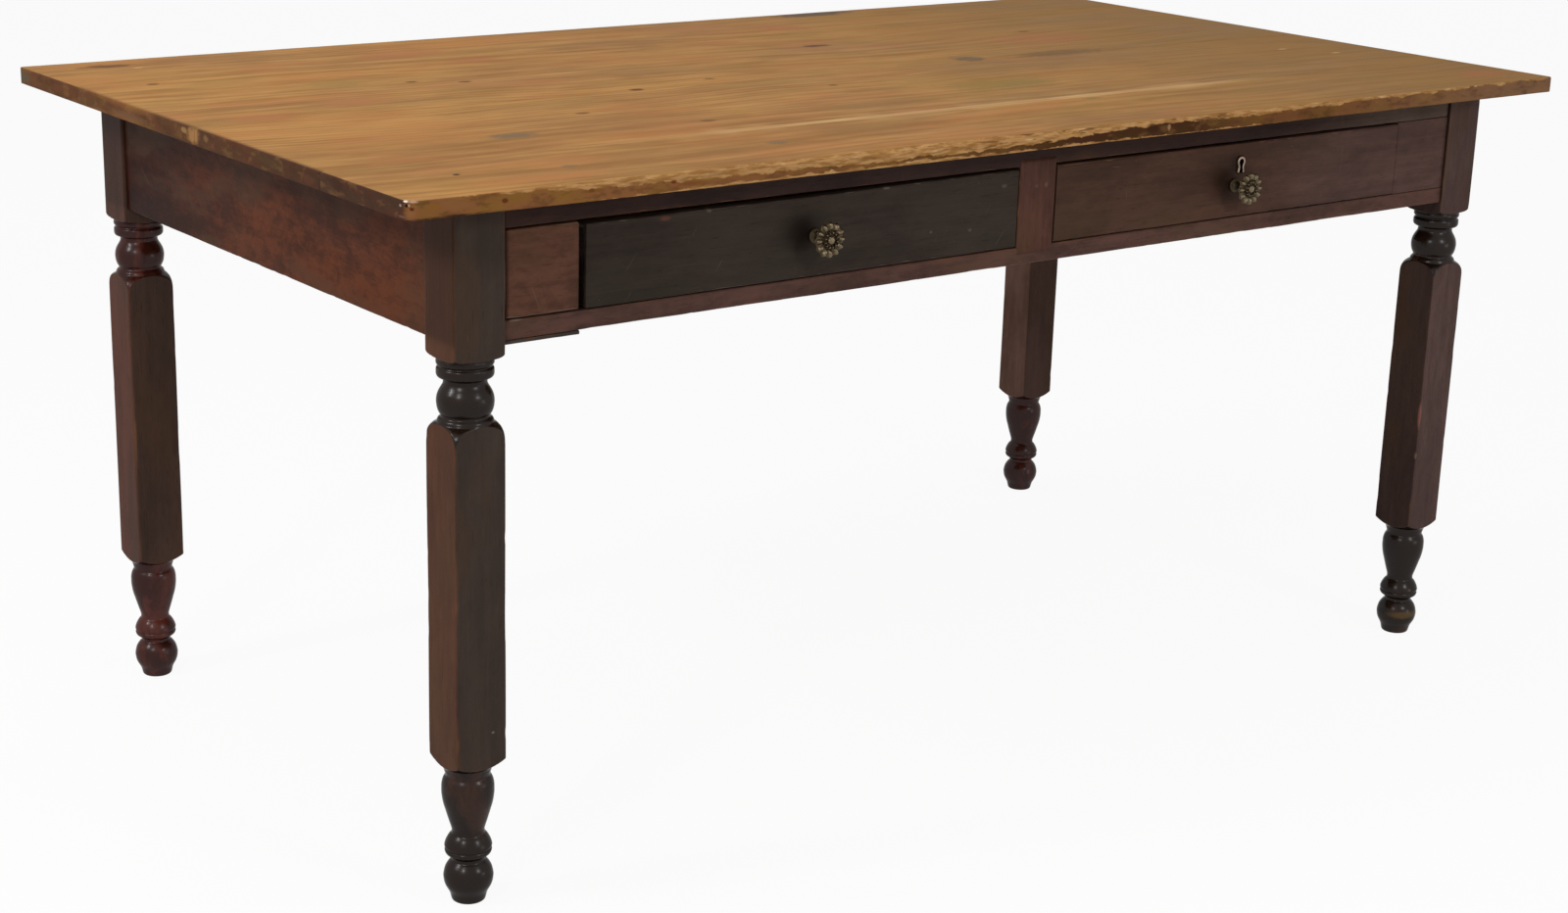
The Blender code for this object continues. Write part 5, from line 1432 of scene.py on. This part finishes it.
for place, (node_name, order, finish, slot_name, cut_axis, span) in enumerate(FRAME_BOARDS):
    low, high = node_box(node_name)
    if node_name in MORTISED:
        low, high = low + SKIN, high - SKIN
    if cut_axis is not None:
        reach = (LEG_INSIDE_X, LEG_INSIDE_Y)[cut_axis] + INTO_LEG
        low[cut_axis] = max(low[cut_axis], -reach)
        high[cut_axis] = min(high[cut_axis], reach)
    if node_name in SHRUNK:
        low = low + SHRUNK[node_name][0]
        high = high - SHRUNK[node_name][1]
    frame_board = make_board(
        node_name + "_planed", low, high, order, finish, spacing=FRAME_SPACING,
        arris=EASED.get(node_name, PLAIN_EASE), nick=FRAME_NICK, wobble=FRAME_WOBBLE,
        seed=500 + place * 70, extra=light_and_shade(span, CORNER_SHADOW.get(node_name), low[0]),
        cuts=crisper(0) if node_name == "rail_bottom" else None,
    )
    if node_name in MORTISED:
        keep_joints(frame_board, node_name)
    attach(frame_board, "frame")
    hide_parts(node_name)
print("frame boards", len(FRAME_BOARDS))


# %% [markdown]
# ## Drawer fronts
# A drawer front is a board like the rest, but cut into: dovetail sockets at its ends, a groove for
# the bottom, a bolt hole, and on the right the keyhole and the pocket of the lock. All of those
# are kept from the CAD solid, like the rail's mortise. The left front was planed along its top to
# clear the rail. Both fronts are darker round the knobs, partly dirt from hands and partly painted
# shadow that the knob and the keyhole plate cast to their left, and the right front is painted
# lighter toward its right end, as painted light.

# %% Cut the drawer fronts
# How much is planed off the left front's upper edge, at its left and its right end
PLANED = (0.0023, 0.0004)
FRONT_EASE = 0.0009
FRONT_NICK = 0.0006
FRONT_WOBBLE = 0.0003
FRONT_MESH_SPACING = 0.004
FRONT_ROW_GAP = 0.006
# The eased arrises at the two ends of each front
FRONT_ENDS = {"left": (0.0008, 0.0008), "right": (0.0008, 0.0003)}
# Dirt from hands together with the painted shadow of the knob or plate, set off to the left and up,
# as (across from the middle, up from the middle, half width, half height)
KNOB_DIRT_AND_SHADOW = (-0.017, 0.006, 0.021, 0.020)
PLATE_DIRT_AND_SHADOW = (-0.009, 0.0, 0.010, 0.013)
# Where the right front turns to its paler second browns toward its right end: painted light
LIGHTER_SPAN = (0.32, 0.52)


def left_planing(share):
    """The left front was planed to clear the rail, more toward its left end."""
    return PLANED[0] + (PLANED[1] - PLANED[0]) * smooth_step(share, 0.35, 1.0)


def dirt_and_shadow(points, node_name, place):
    """A soft patch beside the middle of a node: 1 in its centre and next to 0 at twice its size."""
    middle = sum(node_box(node_name)) / 2
    across = (points[..., 0] - middle[0] - place[0]) / place[2]
    up = (points[..., 2] - middle[2] - place[1]) / place[3]
    return np.exp(-np.hypot(across, up) ** 2)


def front_dirt_and_light(side, points):
    """Grime from hands and the painted shadow of the knob and the keyhole plate, and painted light on the
    right front's right end.
    """
    grime_and_shade = 0.9 * dirt_and_shadow(points, "knob_" + side + "_neck", KNOB_DIRT_AND_SHADOW)
    if side == "left":
        return {"grime_and_shade": grime_and_shade}
    around = 0.8 * dirt_and_shadow(points, "escutcheon", PLATE_DIRT_AND_SHADOW)
    return {"grime_and_shade": np.maximum(grime_and_shade, around), "second": smooth_step(points[..., 0], *LIGHTER_SPAN)}


def cut_front(side, finish, seed):
    """A drawer front: the worn board, kept only where the CAD front has wood."""
    node_name = "drawer_" + side + "_front"
    low, high = node_box(node_name)
    front = make_board(
        node_name + "_worn", low + SKIN, high - SKIN, "xzy", finish, spacing=FRONT_MESH_SPACING,
        arris=FRONT_EASE, nick=FRONT_NICK, wobble=FRONT_WOBBLE, seed=seed,
        extra=lambda points: front_dirt_and_light(side, points), ends=FRONT_ENDS[side],
        planed=left_planing if side == "left" else None,
        cuts=crisper(1) if side == "right" else None, row_gap=FRONT_ROW_GAP,
    )
    keep_joints(front, node_name)
    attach(front, "drawer_" + side)
    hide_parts(node_name)
    return front


left_front = cut_front("left", dark_front, 1300)
right_front = cut_front("right", brown_front, 1400)
print("front faces", len(left_front.data.polygons), len(right_front.data.polygons))


# %% [markdown]
# ## Cast knobs
# Each knob is a small bronze flower on a waisted neck. A casting like this is a relief: seen from
# the front it is a height for every point of a disc. The height is a sum of plain parts, a boss in
# the middle, a ring of small beads, and an outer ring of rounded lobes whose ends scallop the rim.
# Cosines of the angle make the beads and lobes, and the hollows between them are marked as grime.

# %% Cast the rosettes and turn their necks
OUTER_LOBES = 12
INNER_BEADS = 12
SCALLOP_SHARE = 0.09
ROSETTE_ANGLES = 240
FRONT_RINGS = 90
# The rings of the back and of the rim as (share of the radius, share of the thickness, dirt)
BACK_RINGS = ((0.02, 0.0, 0.8), (0.3, 0.0, 0.8), (0.6, 0.0, 0.8), (0.85, 0.0, 0.8), (0.96, 0.0, 0.8))
RIM_RINGS = ((0.985, 0.02, 0.5), (1.0, 0.07, 0.5), (1.0, 0.13, 0.5), (0.992, 0.18, 0.5))
ROSETTE_DIRT = 0.92


def rosette_relief(share, angles):
    """The height of the flower as a share of its thickness, at a share of the radius and an angle."""
    outer = np.cos(OUTER_LOBES * angles)
    inner = -np.cos(INNER_BEADS * angles)
    boss = 0.98 * np.sqrt(np.clip(1 - (share / 0.27) ** 3, 0, 1))
    bead_window = smooth_step(share, 0.33, 0.40) * (1 - smooth_step(share, 0.48, 0.55))
    beads = bead_window * (0.40 + 0.36 * inner)
    across = np.clip((share - 0.56) / 0.42, 0, 1)
    crown = np.sqrt(np.clip(1 - (2 * across - 1) ** 2, 0, 1))
    ring = crown * (0.50 + 0.32 * outer)
    parts = np.broadcast_arrays(boss, beads, ring)
    return 0.20 + np.maximum.reduce(parts) * 0.78


def knob_rings(node_name, shares, heights, angles):
    """Rings round a node's axis along Y, by shares of its radius and of its length from the drawer."""
    low, high = node_box(node_name)
    middle = (low + high) / 2
    reach = shares * (high[2] - low[2]) / 2
    x, z = middle[0] + reach * np.cos(angles), middle[2] + reach * np.sin(angles)
    return np.stack([x, high[1] - heights * (high[1] - low[1]) + x * 0, z], axis=-1)


def make_rosette(side, carrier):
    """The flower as rings: out across its flat back, round the scalloped rim and in over the relief."""
    node_name = "knob_" + side + "_rosette"
    angles = full_turn(ROSETTE_ANGLES)
    rim = 1 - SCALLOP_SHARE * (1 - np.cos(OUTER_LOBES * angles)) / 2
    plain_share, plain_height, plain_dirt = np.array(BACK_RINGS + RIM_RINGS).T[:, :, None]
    front_share = np.linspace(0.98, 0.01, FRONT_RINGS)[:, None]
    relief = rosette_relief(front_share, angles)
    share = np.concatenate([plain_share, front_share]) * rim
    height = np.concatenate([plain_height + angles * 0, relief])
    hollow = np.concatenate([plain_dirt + angles * 0, 1 - smooth_step(relief, 0.30, 0.70)])
    points = knob_rings(node_name, share, height, angles)
    rosette = make_piece("rosette_" + side, points, bronze, {"grime_and_shade": hollow * ROSETTE_DIRT})
    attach(rosette, carrier)
    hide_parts(node_name)
    return rosette


# The neck from the drawer outwards, as (share of its length, share of its widest radius)
NECK_SHARES = (
    (0.0, 0.94), (0.03, 1.0), (0.07, 1.0), (0.10, 0.92), (0.13, 0.84), (0.16, 0.70), (0.22, 0.60),
    (0.35, 0.50), (0.52, 0.47), (0.70, 0.52), (0.84, 0.64), (0.90, 0.78), (0.94, 0.80), (1.0, 0.74),
)
NECK_RINGS = 80
NECK_ANGLES = 64
# Painted shade: the whole neck is darkened, as it lies in the shadow of the flower
NECK_SHADE = 0.95


def make_neck(side, carrier):
    """A turned neck: a moulded foot plate against the drawer, a waist, and a cup under the flower."""
    node_name = "knob_" + side + "_neck"
    lengths = np.linspace(0, 1, NECK_RINGS)[:, None]
    shares = through_points(lengths, NECK_SHARES)
    points = knob_rings(node_name, shares, lengths, full_turn(NECK_ANGLES))
    neck = make_piece("neck_" + side, points, bronze, {"grime_and_shade": points[..., 0] * 0 + NECK_SHADE})
    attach(neck, carrier)
    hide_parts(node_name)


for side in ("left", "right"):
    made_rosette = make_rosette(side, "drawer_" + side)
    make_neck(side, "drawer_" + side)
print("rosette faces", len(made_rosette.data.polygons))


# %% [markdown]
# ## The keyhole plate
# Over the right knob a bent strip of brass lines the keyhole: round over the head of the hole, and
# two legs that draw in and then part a little at the foot. A strip is a section carried along a
# path, so the path gives each ring its place and its direction, and the section is a rounded oblong.

# %% Bend the keyhole plate
PATH_POINTS = 90
STRIP_POINTS = 20
HEAD_STRIP_WIDTH = 0.0036
LEG_STRIP_WIDTH = 0.0028
HEAD_ARC_DEGREES = 232


def make_escutcheon():
    """A rounded strip along the outline of a keyhole, broad over the head and open at the foot."""
    low, high = node_box("escutcheon")
    middle_x = (low[0] + high[0]) / 2
    head = (high[0] - low[0]) / 2 - HEAD_STRIP_WIDTH / 2
    head_z = high[2] - HEAD_STRIP_WIDTH / 2 - head
    foot_z = low[2] + LEG_STRIP_WIDTH * 0.1
    half_arc = math.radians(HEAD_ARC_DEGREES / 2)
    turn = np.linspace(-half_arc, half_arc, PATH_POINTS)
    arc = np.stack([head * np.sin(turn), head * np.cos(turn)], axis=-1)
    leg_share = np.linspace(0, 1, PATH_POINTS // 2)[1:]
    end_x, end_z = arc[-1]
    drop = foot_z - head_z
    leg_z = end_z + (drop - end_z) * leg_share
    waist = -0.30 * np.sin(np.pi * np.clip(leg_share * 1.3, 0, 1)) * LEG_STRIP_WIDTH
    leg_x = end_x * (1 - 0.22 * leg_share) + waist + 0.25 * LEG_STRIP_WIDTH * leg_share**3
    right_leg = np.stack([leg_x, leg_z], axis=-1)
    left_leg = right_leg[::-1] * [-1, 1]
    path = np.concatenate([left_leg, arc, right_leg])
    along = np.gradient(path, axis=0)
    along /= np.linalg.norm(along, axis=1, keepdims=True)
    outward = np.stack([-along[:, 1], along[:, 0]], axis=-1)
    leg_width = np.full(len(leg_share), LEG_STRIP_WIDTH)
    broader = smooth_step(np.cos(turn), -0.4, 0.7)
    arc_width = LEG_STRIP_WIDTH + (HEAD_STRIP_WIDTH - LEG_STRIP_WIDTH) * broader
    width = np.concatenate([leg_width, arc_width, leg_width])[:, None]

    turns = full_turn(STRIP_POINTS)[0]
    section = np.stack([np.cos(turns), np.sin(turns)], axis=-1)
    section = np.sign(section) * np.abs(section) ** 0.6
    wide = section[None, :, 0] * width / 2
    deep = section[:, 1] * (high[1] - low[1]) / 2
    x = middle_x + path[:, :1] + outward[:, :1] * wide
    z = head_z + path[:, 1:] + outward[:, 1:] * wide
    y = (low[1] + high[1]) / 2 + deep[None, :] + x * 0
    lining = smooth_step(0.35 * section[None, :, 1] - section[None, :, 0], 0.1, 0.7) + x * 0
    plate = make_piece("keyhole_plate", np.stack([x, y, z], axis=-1), brass, {"grime_and_shade": lining})
    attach(plate, "drawer_right")
    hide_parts("escutcheon")
    return plate


keyhole_plate = make_escutcheon()
print("keyhole plate faces", len(keyhole_plate.data.polygons))


# %% [markdown]
# ## The parts that stay as they are
# The drawer boxes, the runners and guides, the blocks and the hardware already have the right
# shapes in the CAD model. They only need a finish, with the grain running the long way of each
# part, which is the longest side of its box.

# %% Finish the CAD parts that stay
METAL_FINISHES = {"iron": iron, "brass": brass, "bronze": bronze}
kept_parts = [name for name, part in nodes.items() if not part.hide_render]
for name in kept_parts:
    low, high = node_box(name)
    grain = "xyz"[int(np.argmax(high - low))]
    plain = side_finish if "_side_" in name else bare_finishes[grain]
    for holder in nodes[name].material_slots:
        holder.material = METAL_FINISHES.get(holder.material.name, plain)
print("kept CAD parts", len(kept_parts))
